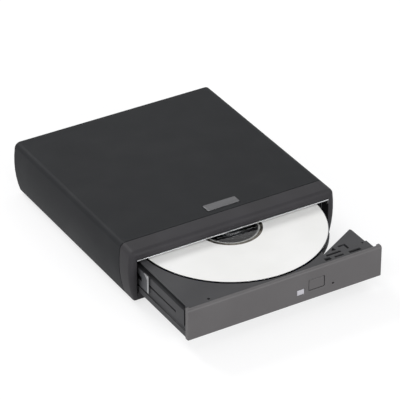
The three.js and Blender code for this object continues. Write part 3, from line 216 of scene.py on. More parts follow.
def makeHandling(shape):
    tree, given, out = newGroup("handling", {"Patch Scale": 28.0}, ("Mask",))
    patches = addTexture(tree, "ShaderNodeTexNoise", objectPlace(tree), given["Patch Scale"], shape["noise"])
    tree.links.new(spread(tree, patches.outputs["Fac"], 0.0, 1.0, shape["start"], shape["end"]), out["Mask"])
    return tree


mouldedGrain = makeMouldedGrain(grainShape)
brushedLines = makeBrushedLines(lineShape)
edgeWear = makeEdgeWear(wearShape)
handling = makeHandling(handlingShape)


# Material helpers; every depth is in mm
def useGroup(tree, group, inputs=None):
    return addNode(tree, "ShaderNodeGroup", inputs, node_tree=group)


def newMaterial(name):
    material = bpy.data.materials.new(name)
    material.use_nodes = True
    return material, material.node_tree, material.node_tree.nodes["Principled BSDF"]


def addBump(tree, shader, height, depth):
    bump = addNode(tree, "ShaderNodeBump", {"Strength": 1.0, "Distance": depth * mm})
    tree.links.new(height, bump.inputs["Height"])
    tree.links.new(bump.outputs["Normal"], shader.inputs["Normal"])


def addTone(tree, shader, tone, look):
    colour = mixColours(tree, tone, toLinear(*look["dark"]), toLinear(*look["light"]))
    tree.links.new(colour, shader.inputs["Base Color"])
    return colour


# Handling marks polish plastic and dull metal
markStrength = {"plastic": 0.06, "metal": 0.08}
metalPatches = {"Patch Scale": 60.0}


def plasticMaterial(name, look):
    material, tree, shader = newMaterial(name)
    grain = useGroup(tree, mouldedGrain, {"Grain Scale": look["grain"]})
    colour = addTone(tree, shader, grain.outputs["Tone"], look)
    if "wear" in look:
        worn = useGroup(tree, edgeWear, {"Width": look["wear"] * mm})
        colour = mixColours(tree, worn.outputs["Mask"], colour, toLinear(*look["worn"]))
        tree.links.new(colour, shader.inputs["Base Color"])
    rough = spread(tree, grain.outputs["Gloss"], *look["rough"])
    marks = useGroup(tree, handling).outputs["Mask"]
    polish = calculate(tree, "MULTIPLY", marks, markStrength["plastic"])
    tree.links.new(calculate(tree, "SUBTRACT", rough, polish), shader.inputs["Roughness"])
    shader.inputs["Specular IOR Level"].default_value = look.get("specular", 0.5)
    addBump(tree, shader, grain.outputs["Height"], look["depth"])
    return material


def metalMaterial(name, look):
    material, tree, shader = newMaterial(name)
    lines = useGroup(tree, brushedLines, {"Stretch": look["stretch"]})
    addTone(tree, shader, lines.outputs["Tone"], look)
    rough = spread(tree, lines.outputs["Tone"], *look["rough"])
    marks = useGroup(tree, handling, metalPatches).outputs["Mask"]
    smear = calculate(tree, "MULTIPLY", marks, markStrength["metal"])
    tree.links.new(calculate(tree, "ADD", rough, smear), shader.inputs["Roughness"])
    shader.inputs["Metallic"].default_value = 1.0
    addBump(tree, shader, lines.outputs["Height"], look["depth"])
    return material


# Finishes of the plastics, colours as seen under plain light, except the cover and the frame, whose colours are
# darkened by painted shade
plasticLooks = {
    # cover: its own dark grey, darkened further by painted shade so that its top renders dark
    "coverPlastic": {"dark": (33, 34, 36), "light": (38, 39, 41), "rough": (0.5, 0.66), "grain": 2600.0,
                     "depth": 0.012, "wear": 0.35, "worn": (46, 47, 49), "specular": 0.1},
    # frame: its own dark grey, darkened further by painted shade, the shade that a drive stacked on top would cast
    "framePlastic": {"dark": (51, 50, 52), "light": (57, 56, 59), "rough": (0.45, 0.6), "grain": 2600.0,
                     "depth": 0.012, "wear": 0.35, "worn": (72, 71, 74), "specular": 0.12},
    "bezelPlastic": {"dark": (86, 84, 85), "light": (93, 91, 92), "rough": (0.42, 0.56), "grain": 3000.0,
                     "depth": 0.009, "wear": 0.3, "worn": (120, 118, 120), "specular": 0.4},
    "trayPlastic": {"dark": (55, 55, 57), "light": (65, 65, 67), "rough": (0.5, 0.64), "grain": 2200.0,
                    "depth": 0.014, "wear": 0.25, "worn": (80, 80, 82), "specular": 0.25},
    "blackPlastic": {"dark": (22, 23, 25), "light": (30, 31, 33), "rough": (0.35, 0.5), "grain": 2600.0,
                     "depth": 0.01, "specular": 0.35},
    "socketPlastic": {"dark": (196, 196, 190), "light": (212, 212, 206), "rough": (0.35, 0.5), "grain": 2600.0,
                      "depth": 0.008},
    "chipResin": {"dark": (20, 20, 22), "light": (27, 27, 29), "rough": (0.5, 0.65), "grain": 5000.0,
                  "depth": 0.006, "specular": 0.3},
    "footRubber": {"dark": (24, 24, 25), "light": (34, 34, 35), "rough": (0.75, 0.92), "grain": 1500.0,
                   "depth": 0.03, "specular": 0.3},
}
# Finishes of the metals; the stretch says along which axis the lines run
metalLooks = {
    "lidSheet": {"dark": (206, 207, 209), "light": (226, 227, 229), "rough": (0.3, 0.4),
                 "stretch": (70.0, 2200.0, 2200.0), "depth": 0.003},
    "zincSheet": {"dark": (162, 164, 166), "light": (184, 186, 188), "rough": (0.3, 0.44),
                  "stretch": (2200.0, 70.0, 2200.0), "depth": 0.004},
    # painted shade: the rails' steel darkened because it lies in the shade inside the mouth
    "railSheet": {"dark": (76, 77, 79), "light": (100, 101, 104), "rough": (0.4, 0.55),
                  "stretch": (2200.0, 60.0, 2200.0), "depth": 0.004},
    # painted light: a brightened copy of the rails' steel for their lit front ends
    "railEnd": {"dark": (150, 151, 152), "light": (176, 177, 178), "rough": (0.3, 0.42),
                "stretch": (2200.0, 2200.0, 400.0), "depth": 0.003},
    "darkSteel": {"dark": (92, 93, 96), "light": (118, 119, 122), "rough": (0.35, 0.5),
                  "stretch": (900.0, 900.0, 900.0), "depth": 0.006},
    "polishedSteel": {"dark": (190, 191, 193), "light": (208, 209, 211), "rough": (0.12, 0.22),
                      "stretch": (3000.0, 40.0, 3000.0), "depth": 0.002},
    "badgeMetal": {"dark": (92, 92, 94), "light": (112, 112, 114), "rough": (0.32, 0.45),
                   "stretch": (60.0, 3000.0, 3000.0), "depth": 0.004},
    "castMetal": {"dark": (110, 111, 114), "light": (136, 137, 140), "rough": (0.45, 0.6),
                  "stretch": (1400.0, 1400.0, 1400.0), "depth": 0.012},
    "brass": {"dark": (176, 140, 78), "light": (200, 164, 98), "rough": (0.25, 0.36),
              "stretch": (2000.0, 2000.0, 200.0), "depth": 0.003},
    "copperWire": {"dark": (150, 84, 52), "light": (188, 112, 74), "rough": (0.3, 0.42),
                   "stretch": (300.0, 300.0, 4200.0), "depth": 0.03},
}
finishes = {name: plasticMaterial(name, look) for name, look in plasticLooks.items()}
finishes.update({name: metalMaterial(name, look) for name, look in metalLooks.items()})


# Materials with one pattern each: lamp lens, coated pickup lens, and the disc's clear plastic, print, dye and band,
# and the light grey of its ridge, a painted highlight
patternLooks = {
    "lampLens": {"group": mouldedGrain, "pattern": {"Grain Scale": 1800.0, "Mottle Scale": 260.0},
                 "dark": (166, 164, 171), "light": (196, 195, 201), "glow": 0.03, "depth": 0.004,
                 "plain": {"Roughness": 0.25}},
    "lensGlass": {"group": mouldedGrain, "pattern": {"Grain Scale": 600.0, "Mottle Scale": 300.0},
                  "dark": (150, 160, 214), "light": (190, 182, 232),
                  "plain": {"Transmission Weight": 0.85, "IOR": 1.6, "Roughness": 0.03, "Coat Weight": 0.5}},
    "discClear": {"group": mouldedGrain, "pattern": {"Grain Scale": 900.0, "Mottle Scale": 60.0},
                  "dark": (236, 238, 240), "light": (246, 247, 248),
                  "plain": {"Roughness": 0.04, "IOR": 1.58, "Transmission Weight": 1.0}},
    "discPrint": {"group": mouldedGrain, "pattern": {"Grain Scale": 1400.0, "Mottle Scale": 30.0},
                  "dark": (231, 231, 229), "light": (241, 241, 240), "gloss": ("Gloss", 0.3, 0.45), "depth": 0.004},
    "discDye": {"group": brushedLines, "pattern": {"Stretch": (120.0, 120.0, 120.0)},
                "dark": (112, 118, 150), "light": (150, 158, 184),
                "plain": {"Metallic": 1.0, "Roughness": 0.16, "Anisotropic": 0.6}},
    "discBand": {"group": brushedLines, "pattern": {"Stretch": (260.0, 260.0, 260.0)},
                 "dark": (84, 80, 74), "light": (128, 123, 114), "gloss": ("Height", 0.2, 0.34),
                 "plain": {"Metallic": 1.0}},
    # painted highlight: the stacking ridge is coloured light grey to stand for the light it reflects
    "discRidge": {"group": mouldedGrain, "pattern": {"Grain Scale": 900.0, "Mottle Scale": 160.0},
                  "dark": (150, 151, 148), "light": (196, 197, 194),
                  "plain": {"Roughness": 0.14, "Transmission Weight": 0.3, "IOR": 1.58}},
}


def patternMaterial(name, look):
    material, tree, shader = newMaterial(name)
    pattern = useGroup(tree, look["group"], look["pattern"])
    colour = addTone(tree, shader, pattern.outputs["Tone"], look)
    setInputs(shader, look.get("plain", {}))
    if "glow" in look:
        tree.links.new(colour, shader.inputs["Emission Color"])
        shader.inputs["Emission Strength"].default_value = look["glow"]
    if "gloss" in look:
        output, low, high = look["gloss"]
        tree.links.new(spread(tree, pattern.outputs[output], low, high), shader.inputs["Roughness"])
    if "depth" in look:
        addBump(tree, shader, pattern.outputs["Height"], look["depth"])
    return material


# Materials with a texture of their own: a circuit board's copper tracks under its green mask, and the copper lines
# that show through the amber film of a flat cable
textureLooks = {
    "circuitBoard": {"kind": "ShaderNodeTexBrick", "scale": 225.0, "inputs": {"Mortar Size": 0.06},
                     "values": {"offset": 0.5}, "dark": (22, 74, 46), "light": (40, 104, 62),
                     "rough": 0.38, "depth": 0.02},
    "flatCableFilm": {"kind": "ShaderNodeTexWave", "scale": 1000 / 3, "inputs": {},
                      "values": {"bands_direction": "X"}, "dark": (150, 92, 30), "light": (196, 122, 62),
                      "rough": 0.3, "depth": 0.02},
}


def textureMaterial(name, look):
    material, tree, shader = newMaterial(name)
    pattern = addTexture(tree, look["kind"], objectPlace(tree), look["scale"], look["inputs"], **look["values"])
    addTone(tree, shader, pattern.outputs["Fac"], look)
    shader.inputs["Roughness"].default_value = look["rough"]
    addBump(tree, shader, pattern.outputs["Fac"], look["depth"])
    return material


finishes.update({name: patternMaterial(name, look) for name, look in patternLooks.items()})
finishes.update({name: textureMaterial(name, look) for name, look in textureLooks.items()})
print("materials made:", len(bpy.data.materials))

# Mesh helpers
meshSettings = {"weld": 0.002, "flatAngle": 0.6, "sharpAngle": 32}    # mm, degrees, degrees


def linkPiece(name, mesh, body, slotName, *materials):
    piece = bpy.data.objects.new(name, mesh)
    bpy.context.scene.collection.objects.link(piece)
    for material in materials:
        mesh.materials.append(material)
    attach(piece, body)
    return piece


def bakeModifiers(piece):
    graph = bpy.context.evaluated_depsgraph_get()
    mesh = bpy.data.meshes.new_from_object(piece.evaluated_get(graph))
    piece.modifiers.clear()
    spare = piece.data
    piece.data = mesh
    mesh.name = piece.name
    bpy.data.meshes.remove(spare)


def smoothMesh(mesh, sharpAngle):
    mesh.shade_smooth()
    mesh.set_sharp_from_angle(angle=math.radians(sharpAngle))


def roundEdges(piece, width, steps):
    smoothMesh(piece.data, meshSettings["sharpAngle"])
    if width:
        edge = piece.modifiers.new("edge", "BEVEL")
        edge.width = width * mm
        edge.segments = steps
        edge.limit_method = "ANGLE"
        edge.angle_limit = math.radians(meshSettings["sharpAngle"])
        edge.use_clamp_overlap = False
        edge.miter_outer = "MITER_SHARP"
    weighted = piece.modifiers.new("normals", "WEIGHTED_NORMAL")
    weighted.keep_sharp = True
    bakeModifiers(piece)


# A copy of a solid: welded, its flat faces made whole where that leaves sound faces
def cleanMesh(nodeName, whole):
    work = bmesh.new()
    work.from_mesh(frame["nodes"][nodeName].data)
    bmesh.ops.remove_doubles(work, verts=work.verts[:], dist=meshSettings["weld"] * mm)
    if whole:
        bmesh.ops.dissolve_limit(work, angle_limit=math.radians(meshSettings["flatAngle"]),
                                 verts=work.verts[:], edges=work.edges[:])
    work.verts.index_update()
    points = [vert.co[:] for vert in work.verts]
    faces = [[vert.index for vert in face.verts] for face in work.faces]
    work.free()
    mesh = bpy.data.meshes.new(nodeName)
    mesh.from_pydata(points, [], faces)
    return mesh


# A closed block over an outline of x, y points
def prismMesh(name, outline, low, high):
    count = len(outline)
    points = [(x, y, z) for z in (low, high) for x, y in outline]
    faces = [tuple(reversed(range(count))), tuple(range(count, 2 * count))]
    faces += [(i, (i + 1) % count, (i + 1) % count + count, i + count) for i in range(count)]
    mesh = bpy.data.meshes.new(name)
    mesh.from_pydata(points, [], faces)
    return mesh


def blockMesh(name, low, high):
    (x0, y0, z0), (x1, y1, z1) = low, high
    return prismMesh(name, [(x0, y0), (x1, y0), (x1, y1), (x0, y1)], z0, z1)


def carve(piece, cutMeshes, useSelf=False):
    cutters = []
    for mesh in cutMeshes:
        cutter = bpy.data.objects.new("cutter", mesh)
        bpy.context.scene.collection.objects.link(cutter)
        cutters.append(cutter)
        recess = piece.modifiers.new("recess", "BOOLEAN")
        recess.operation, recess.object, recess.solver = "DIFFERENCE", cutter, "EXACT"
        recess.use_self = useSelf
    bakeModifiers(piece)
    for cutter in cutters:
        spare = cutter.data
        bpy.data.objects.remove(cutter)
        bpy.data.meshes.remove(spare)


# A profile of radius, z points turned round a centre; an open profile gets a flat end at each end
def lathe(name, profile, sides, centre, closed=True):
    work = bmesh.new()
    rings = []
    for step in range(sides):
        angle = math.tau * step / sides
        rings.append([work.verts.new((centre[0] + r * math.cos(angle), centre[1] + r * math.sin(angle), z))
                      for r, z in profile])
    count = len(profile)
    for step in range(sides):
        here, there = rings[step], rings[(step + 1) % sides]
        for i in range(count if closed else count - 1):
            j = (i + 1) % count
            work.faces.new((here[i], there[i], there[j], here[j]))
    if not closed:
        work.faces.new([ring[-1] for ring in rings])
        work.faces.new([ring[0] for ring in reversed(rings)])
    bmesh.ops.recalc_face_normals(work, faces=work.faces[:])
    mesh = bpy.data.meshes.new(name)
    work.to_mesh(mesh)
    work.free()
    return mesh


def camelName(nodeName):
    first, *rest = nodeName.split("_")
    return first + "".join(word.capitalize() for word in rest)


def dress(nodeName, settings):
    mesh = cleanMesh(nodeName, settings.get("whole", True))
    piece = linkPiece(settings.get("piece", camelName(nodeName)), mesh, bodyOf[nodeName], slotOf[nodeName],
                      finishes[settings["finish"]])
    if "cuts" in settings:
        carve(piece, settings["cuts"]())
    if "inset" in settings:
        for vert in mesh.vertices:
            vert.co -= vert.normal * settings["inset"] * mm
    roundEdges(piece, settings["edge"], settings.get("steps", 2))
    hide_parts(nodeName)


# Cuts in the tray that are finer than its solid, all in mm: a deeper slit behind the bezel's left end, and a rounded
# corner at the back of the arm
trayCuts = {
    "side": 65.6,             # the tray's side from its middle
    "slit": (-97.9, -96.4),   # from front to back
    "slitHeight": (14.6, 26.2),
    "slitDepth": 1.3,
    "armCorner": (61.9, -77.5),
    "armRadius": 2.2,
    "armHeight": (26.0, 30.5),
    "arcSteps": 8,
    "overrun": 1.0,
    "cornerOverrun": 0.3,
}


def makeTrayCuts():
    side, depth, overrun = (trayCuts[key] * mm for key in ("side", "slitDepth", "overrun"))
    (front, back), (low, high) = ([value * mm for value in trayCuts[key]] for key in ("slit", "slitHeight"))
    slit = blockMesh("slitLeft", (-side - overrun, front, low), (depth - side, back, high))
    (x, y), (low, high) = ([value * mm for value in trayCuts[key]] for key in ("armCorner", "armHeight"))
    radius, spare, steps = trayCuts["armRadius"] * mm, trayCuts["cornerOverrun"] * mm, trayCuts["arcSteps"]
    turns = [math.radians(90 * step / steps) for step in range(steps, -1, -1)]
    arc = [(x - radius + radius * math.cos(turn), y - radius + radius * math.sin(turn)) for turn in turns]
    outline = [(x + spare, y - radius), (x + spare, y + spare), (x - radius, y + spare)] + arc
    return slit, prismMesh("armCorner", outline, low, high)


# Housing and tray: a piece for each solid, named after it. Edges are in mm, rounded in 2 steps unless steps says
# otherwise. Where whole is False the solid's triangles are kept, because joined faces would not stay flat. An inset
# draws a piece in by that much, so that it clears its neighbours at the joints' limits.
housingPieces = {
    "top_cover": {"finish": "coverPlastic", "edge": 0.2},
    "front_frame": {"finish": "framePlastic", "edge": 0.35, "steps": 3, "whole": False},
    "bottom_cover": {"finish": "coverPlastic", "edge": 0.2},
    "rear_panel": {"finish": "coverPlastic", "edge": 0.15},
    "badge_plate": {"finish": "badgeMetal", "edge": 0.18, "steps": 3},
    "drive_tub": {"finish": "zincSheet", "edge": 0.12},
    "drive_lid": {"finish": "lidSheet", "edge": 0.1},
    "latch_post": {"finish": "polishedSteel", "edge": 0.15},
    "rail_guide_left": {"finish": "blackPlastic", "edge": 0.12},
    "rail_guide_right": {"finish": "blackPlastic", "edge": 0.12},
    "rail_left": {"finish": "railSheet", "edge": 0.12},
    "rail_right": {"finish": "railSheet", "edge": 0.12},
    "bridge_board": {"finish": "circuitBoard", "edge": 0.06, "steps": 1},
    "bridge_chip": {"finish": "chipResin", "edge": 0.12},
    "capacitor_near": {"finish": "polishedSteel", "edge": 0.3, "steps": 3},
    "capacitor_far": {"finish": "polishedSteel", "edge": 0.3, "steps": 3},
    "drive_connector": {"finish": "blackPlastic", "edge": 0.15},
    "usb_socket": {"finish": "polishedSteel", "edge": 0.2, "steps": 3},
    "usb_tongue": {"finish": "socketPlastic", "edge": 0.15},
    "power_jack": {"finish": "blackPlastic", "edge": 0.25, "steps": 3},
    "power_pin": {"finish": "brass", "edge": 0.25, "steps": 3},
    "ribbon_cable": {"finish": "flatCableFilm", "edge": 0.04, "steps": 1},
}
trayPieces = {
    "tray": {"piece": "trayBody", "finish": "trayPlastic", "edge": 0.14, "whole": False, "cuts": makeTrayCuts},
    "tray_bezel": {"finish": "bezelPlastic", "edge": 0.18},
    "eject_button": {"finish": "bezelPlastic", "edge": 0.3, "steps": 3},
    "lamp_window": {"finish": "lampLens", "edge": 0.25, "steps": 3},
    "tray_cover": {"finish": "zincSheet", "edge": 0.08, "steps": 1},
    "tray_board": {"finish": "circuitBoard", "edge": 0.06, "steps": 1},
    "controller_chip": {"finish": "chipResin", "edge": 0.12},
    "driver_chip": {"finish": "chipResin", "edge": 0.12},
    "eject_switch": {"finish": "blackPlastic", "edge": 0.15},
    "status_lamp": {"finish": "lampLens", "edge": 0.2, "steps": 3},
    "latch_pin": {"finish": "polishedSteel", "edge": 0.12},
    "latch_lever": {"finish": "blackPlastic", "edge": 0.12},
    "eject_solenoid": {"finish": "darkSteel", "edge": 0.4, "steps": 3},
    "solenoid_plunger": {"finish": "polishedSteel", "edge": 0.1},
    "sled_frame": {"finish": "darkSteel", "edge": 0.12, "whole": False},
    "motor_base": {"finish": "darkSteel", "edge": 0.12, "whole": False, "inset": 0.03},
    "stator_core": {"finish": "copperWire", "edge": 0.1},
    "rotor_cup": {"finish": "polishedSteel", "edge": 0.3, "steps": 3},
    "turntable": {"finish": "blackPlastic", "edge": 0.12},
    "guide_rod_far": {"finish": "polishedSteel", "edge": 0.15},
    "guide_rod_near": {"finish": "polishedSteel", "edge": 0.15},
    "sled_motor": {"finish": "darkSteel", "edge": 0.3, "steps": 3},
    "optical_pickup": {"finish": "castMetal", "edge": 0.25, "steps": 3, "whole": False, "inset": 0.03},
    "objective_lens": {"finish": "lensGlass", "edge": 0},
}
rubberPieces = {
    nodeName: {"piece": "rubber" + kind.capitalize() + nodeName[len(kind):], "finish": "footRubber", "edge": 0.25,
               "steps": 3}
    for nodeName in frame["nodes"] for kind in ("foot", "damper") if nodeName.startswith(kind + "_")
}
for table in (housingPieces, trayPieces, rubberPieces):
    for nodeName, settings in table.items():
        dress(nodeName, settings)
print("housing and tray dressed")


# Rails: painted light and shade on one steel. The rail is drawn in a darkened copy, painted shade; its front end
# over its whole height, and further back a patch at its top which narrows downwards to the end's length, get a
# brightened copy, painted light. All in mm.
railPaintedLightZone = {"length": 1.5, "lugLength": 5.2, "lugHeight": 3.0}
cutTolerance = 1e-7    # m


def paintRailLight(pieceName, settings):
    mesh = bpy.data.objects[pieceName].data
    front = min(vert.co.y for vert in mesh.vertices)
    top = max(vert.co.z for vert in mesh.vertices)
    end, litPatch, lugHeight = (settings[key] * mm for key in ("length", "lugLength", "lugHeight"))
    slope = (litPatch - end) / lugHeight
    work = bmesh.new()
    work.from_mesh(mesh)
    for spot, normal in (((0, front + end, 0), (0, 1, 0)), ((0, front + litPatch, top), (0, 1, -slope))):
        bmesh.ops.bisect_plane(work, geom=work.verts[:] + work.edges[:] + work.faces[:], dist=cutTolerance,
                               plane_co=spot, plane_no=normal)
    work.to_mesh(mesh)
    work.free()
    mesh.materials.append(finishes["railEnd"])
    # faces of the front end and of the top patch get the brightened copy: painted light
    for face in mesh.polygons:
        along, down = face.center.y - front, top - face.center.z
        if along < max(end, litPatch - slope * down):
            face.material_index = 1


# Folded tabs at both ends of the lid's front edge, mm
lidTabs = {"inner": 67.45, "outer": 68.0, "front": -44.6, "back": -41.5, "low": 27.4, "high": 31.0, "chamfer": 0.5,
           "edge": 0.1}
standing = Matrix(((0, 0, 1, 0), (1, 0, 0, 0), (0, 1, 0, 0), (0, 0, 0, 1)))    # turns x, y, z into y, z, x


def makeLidTabs(settings):
    low, high, front, back, chamfer = (settings[key] * mm for key in ("low", "high", "front", "back", "chamfer"))
    outline = [(front + chamfer, low), (back, low), (back, high), (front, high), (front, low + chamfer)]
    for side, label in ((-1, "Left"), (1, "Right")):
        x0, x1 = sorted((side * settings["inner"] * mm, side * settings["outer"] * mm))
        mesh = prismMesh("lidTab" + label, outline, x0, x1)
        mesh.transform(standing)
        tab = linkPiece("lidTab" + label, mesh, "case", slotOf["drive_lid"], finishes["lidSheet"])
        roundEdges(tab, settings["edge"], 2)


# Lead screw: one rolled thread that fades out over a quarter turn at each end; lengths in mm
threadLook = {"pitch": 3.0, "depth": 0.42, "step": 0.25, "sides": 24, "fadeShare": 0.25, "sharpAngle": 50}


def makeLeadScrew(settings):
    low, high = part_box("lead_screw")
    radius = (high.z - low.z) / 2
    centre = (low + high) / 2
    length = (high.x - low.x) * math.sqrt(2) - 2 * radius
    along, up = Vector((-1, 1, 0)).normalized(), Vector((0, 0, 1))
    across = along.cross(up)
    pitch, depth = settings["pitch"] * mm, settings["depth"] * mm
    steps = round(length / (settings["step"] * mm))
    sides, points, faces = settings["sides"], [], []
    for step in range(steps + 1):
        place = length * step / steps
        fade = min(1.0, min(place, length - place) / (settings["fadeShare"] * pitch))
        for side in range(sides):
            turn = math.tau * side / sides
            groove = max(0.0, math.cos(turn - math.tau * place / pitch)) ** 2
            points.append(centre + along * (place - length / 2)
                          + (across * math.cos(turn) + up * math.sin(turn)) * (radius - fade * depth * groove))
    for step in range(steps):
        for side in range(sides):
            here, there = step * sides + side, step * sides + (side + 1) % sides
            faces.append((here, here + sides, there + sides, there))
    faces += [tuple(range(sides)), tuple(reversed(range(steps * sides, (steps + 1) * sides)))]
    mesh = bpy.data.meshes.new("leadScrew")
    mesh.from_pydata(points, [], faces)
    smoothMesh(mesh, settings["sharpAngle"])
    screw = linkPiece("leadScrew", mesh, bodyOf["lead_screw"], slotOf["lead_screw"], finishes["brass"])
    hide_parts("lead_screw")


# Socket contacts: two thin springs on each face of the tongue, mm
contactLook = {"width": 1.0, "length": 6.4, "pitch": 2.5, "thickness": 0.12, "proud": 0.05, "setback": 0.7,
               "edge": 0.03}


def makeContacts(settings):
    low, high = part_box("usb_tongue")
    width, length, pitch, thick, proud, setback = (
        settings[key] * mm for key in ("width", "length", "pitch", "thickness", "proud", "setback"))
    end = high.y - setback
    for side, label in ((-1, "left"), (1, "right")):
        x = (low.x + high.x) / 2 + side * pitch / 2
        for level, name in ((high.z + proud - thick, "upper"), (low.z - proud, "lower")):
            mesh = blockMesh("usbContact", (x - width / 2, end - length, level), (x + width / 2, end, level + thick))
            contact = linkPiece("usbContact_" + name + "_" + label, mesh, "case", slotOf["usb_socket"],
                                finishes["brass"])
            roundEdges(contact, settings["edge"], 1)


paintRailLight("railLeft", railPaintedLightZone)
paintRailLight("railRight", railPaintedLightZone)
makeLidTabs(lidTabs)
makeLeadScrew(threadLook)
makeContacts(contactLook)
print("rails, tabs, thread and contacts made")


# Screws with a cross recess, in mm; each stands on its head's level and points up or down
screwLooks = {
    "case": {"head": 2.4, "headHeight": 0.9, "shank": 1.1, "length": 4.2, "dome": 0.25, "cross": 0.42,
             "reach": 1.5, "sink": 0.6},
    "sheet": {"head": 2.3, "headHeight": 0.75, "shank": 1.1, "length": 5.5, "dome": 0.0, "cross": 0.36,
              "reach": 1.2, "sink": 0.45},
    "board": {"head": 2.2, "headHeight": 1.1, "shank": 1.1, "length": 5.0, "dome": 0.4, "cross": 0.4,
              "reach": 1.3, "sink": 0.7},
    "damper": {"head": 2.2, "headHeight": 1.1, "shank": 1.1, "length": 6.4, "dome": 0.4, "cross": 0.4,
               "reach": 1.3, "sink": 0.7},
}
screwThread = {"pitch": 0.5, "start": 0.3, "depth": 0.18, "seat": 0.02}    # mm
screwShape = {"sides": 32, "domeSteps": 5, "middleShare": 0.02, "tipShare": 0.55, "crossTaper": 0.6,
              "sharpAngle": 30}


# The cross: two crossed bars, narrower at the bottom of the recess
def makeCrossMesh(name, look):
    reach, half, sink = look["reach"] * mm, look["cross"] * mm, look["sink"] * mm
    work = bmesh.new()
    for width, depth in ((reach, half), (half, reach)):
        for vert in bmesh.ops.create_cube(work, size=1)["verts"]:
            deep = vert.co.z > 0
            taper = screwShape["crossTaper"] if deep else 1.0
            vert.co = Vector((vert.co.x * 2 * width * taper, vert.co.y * 2 * depth * taper, sink if deep else -sink))
    mesh = bpy.data.meshes.new(name + "Cross")
    work.to_mesh(mesh)
    work.free()
    return mesh


def makeScrewMesh(name, look):
    head, shank, high, length, dome = (look[key] * mm for key in ("head", "shank", "headHeight", "length", "dome"))
    pitch, start, depth, seat = (screwThread[key] * mm for key in ("pitch", "start", "depth", "seat"))
    steps = screwShape["domeSteps"]
    rim, seatRadius = [(head, 0.0)], shank    # a flat head runs down to its shank as a cone
    if dome:
        turns = [math.pi / 2 * step / steps for step in range(steps - 1, -1, -1)]
        rim, seatRadius = [(head * math.cos(turn), dome - dome * math.sin(turn)) for turn in turns], head
    thread = []
    for turn in range(int((length - high) / pitch) - 1):
        level = high + start + turn * pitch
        thread += [(shank, level), (shank - depth, level + pitch / 2)]
    profile = [(screwShape["middleShare"] * head, 0.0)] + rim + [(seatRadius, high), (shank, high + seat)] + thread
    profile += [(shank, length - pitch), (screwShape["tipShare"] * shank, length)]
    body = bpy.data.objects.new(name, lathe(name, profile, screwShape["sides"], (0.0, 0.0), closed=False))
    bpy.context.scene.collection.objects.link(body)
    carve(body, [makeCrossMesh(name, look)], useSelf=True)
    mesh = body.data
    bpy.data.objects.remove(body)
    smoothMesh(mesh, screwShape["sharpAngle"])
    return mesh


screwMeshes = {kind: makeScrewMesh(kind + "Screw", look) for kind, look in screwLooks.items()}


def putScrew(name, kind, place, body, slotName, turn, points=1):
    mesh = screwMeshes[kind].copy()
    flip = Matrix.Rotation(math.pi, 4, "X") if points < 0 else Matrix.Identity(4)
    mesh.transform(Matrix.Translation(Vector(place)) @ Matrix.Rotation(math.radians(turn), 4, "Z") @ flip)
    return linkPiece(name, mesh, body, slotName, finishes["darkSteel"])


def middleOf(nodeName):
    low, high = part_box(nodeName)
    return (low + high) / 2, low.z


# Places in mm of the screws that the solids leave out. The turn of a row's screws is given in degrees: that of the
# first, and how much each next one adds.
caseScrews = {"turn": (17, 31)}
tubScrews = {"aside": 44.0, "back": (-3.0, 65.0), "turn": (40, 23)}
bridgeScrews = {"aside": 46.0, "back": 93.5, "rise": 1.12, "turn": 12}
coverScrews = {"places": [(-57.0, -89.5), (20.5, -84.4), (-57.0, -58.9), (-24.0, -58.9), (-60.1, 16.5),
                          (45.0, 16.5)], "turn": (21, 37)}
damperScrews = {"drop": 1.4 + 0.25 + 1.12, "turn": (0, 15)}    # board, gap and head


def turnOf(settings, index):
    first, each = settings["turn"]
    return first + each * index


def makeScrews(slotName):
    for index, place in enumerate(("front_left", "front_right", "rear_left", "rear_right")):
        nodeName = "case_screw_" + place
        middle, level = middleOf(nodeName)
        screw = putScrew("caseScrew_" + place, "case", (middle.x, middle.y, level), "case", slotOf[nodeName],
                         turnOf(caseScrews, index))
        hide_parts(nodeName)
        side = -1 if place.endswith("left") else 1
        back = tubScrews["back"][place.startswith("rear")]
        putScrew("tubScrew_" + place, "case", (side * tubScrews["aside"] * mm, back * mm, level), "case", slotName,
                 turnOf(tubScrews, index))
    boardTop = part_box("bridge_board")[1].z
    for side, label in ((-1, "left"), (1, "right")):
        place = (side * bridgeScrews["aside"] * mm, bridgeScrews["back"] * mm, boardTop + bridgeScrews["rise"] * mm)
        putScrew("bridgeScrew_" + label, "board", place, "case", slotName, side * bridgeScrews["turn"], points=-1)
    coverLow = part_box("tray_cover")[0].z
    for index, (x, y) in enumerate(coverScrews["places"]):
        putScrew("coverScrew_" + str(index + 1), "sheet", (x * mm, y * mm, coverLow), "tray_unit", slotName,
                 turnOf(coverScrews, index))
    for index, name in enumerate(("inner_far", "outer_far", "inner_near", "outer_near")):
        middle, level = middleOf("damper_" + name)
        putScrew("damperScrew_" + name, "damper", (middle.x, middle.y, level - damperScrews["drop"] * mm),
                 "tray_unit", slotName, turnOf(damperScrews, index))


makeScrews("dark_steel")
print("screws placed")


# Disc: clear hub ring with its stacking ridge in a painted highlight, bare band, printed face, recorded underside,
# clear rim. All in mm.
discSettings = {
    "sides": 256,
    "hole": 7.5,
    "ridge": 17.95,
    "ridgeFoot": 0.5,         # half the ridge's width at its foot and at its top
    "ridgeTop": 0.25,
    "ridgeHeight": 0.18,
    "bandInner": 18.5,        # the bare mirror band inside the print
    "printInner": 20.3,
    "printOuter": 59.7,
    "rim": 0.2,               # rounding of the outer edge
    "rimShare": 0.35,         # how far its middle point lies in, and how far the hole's edge is broken
    "sharpAngle": 40,
}
discFinishes = ("discClear", "discPrint", "discDye", "discBand", "discRidge")


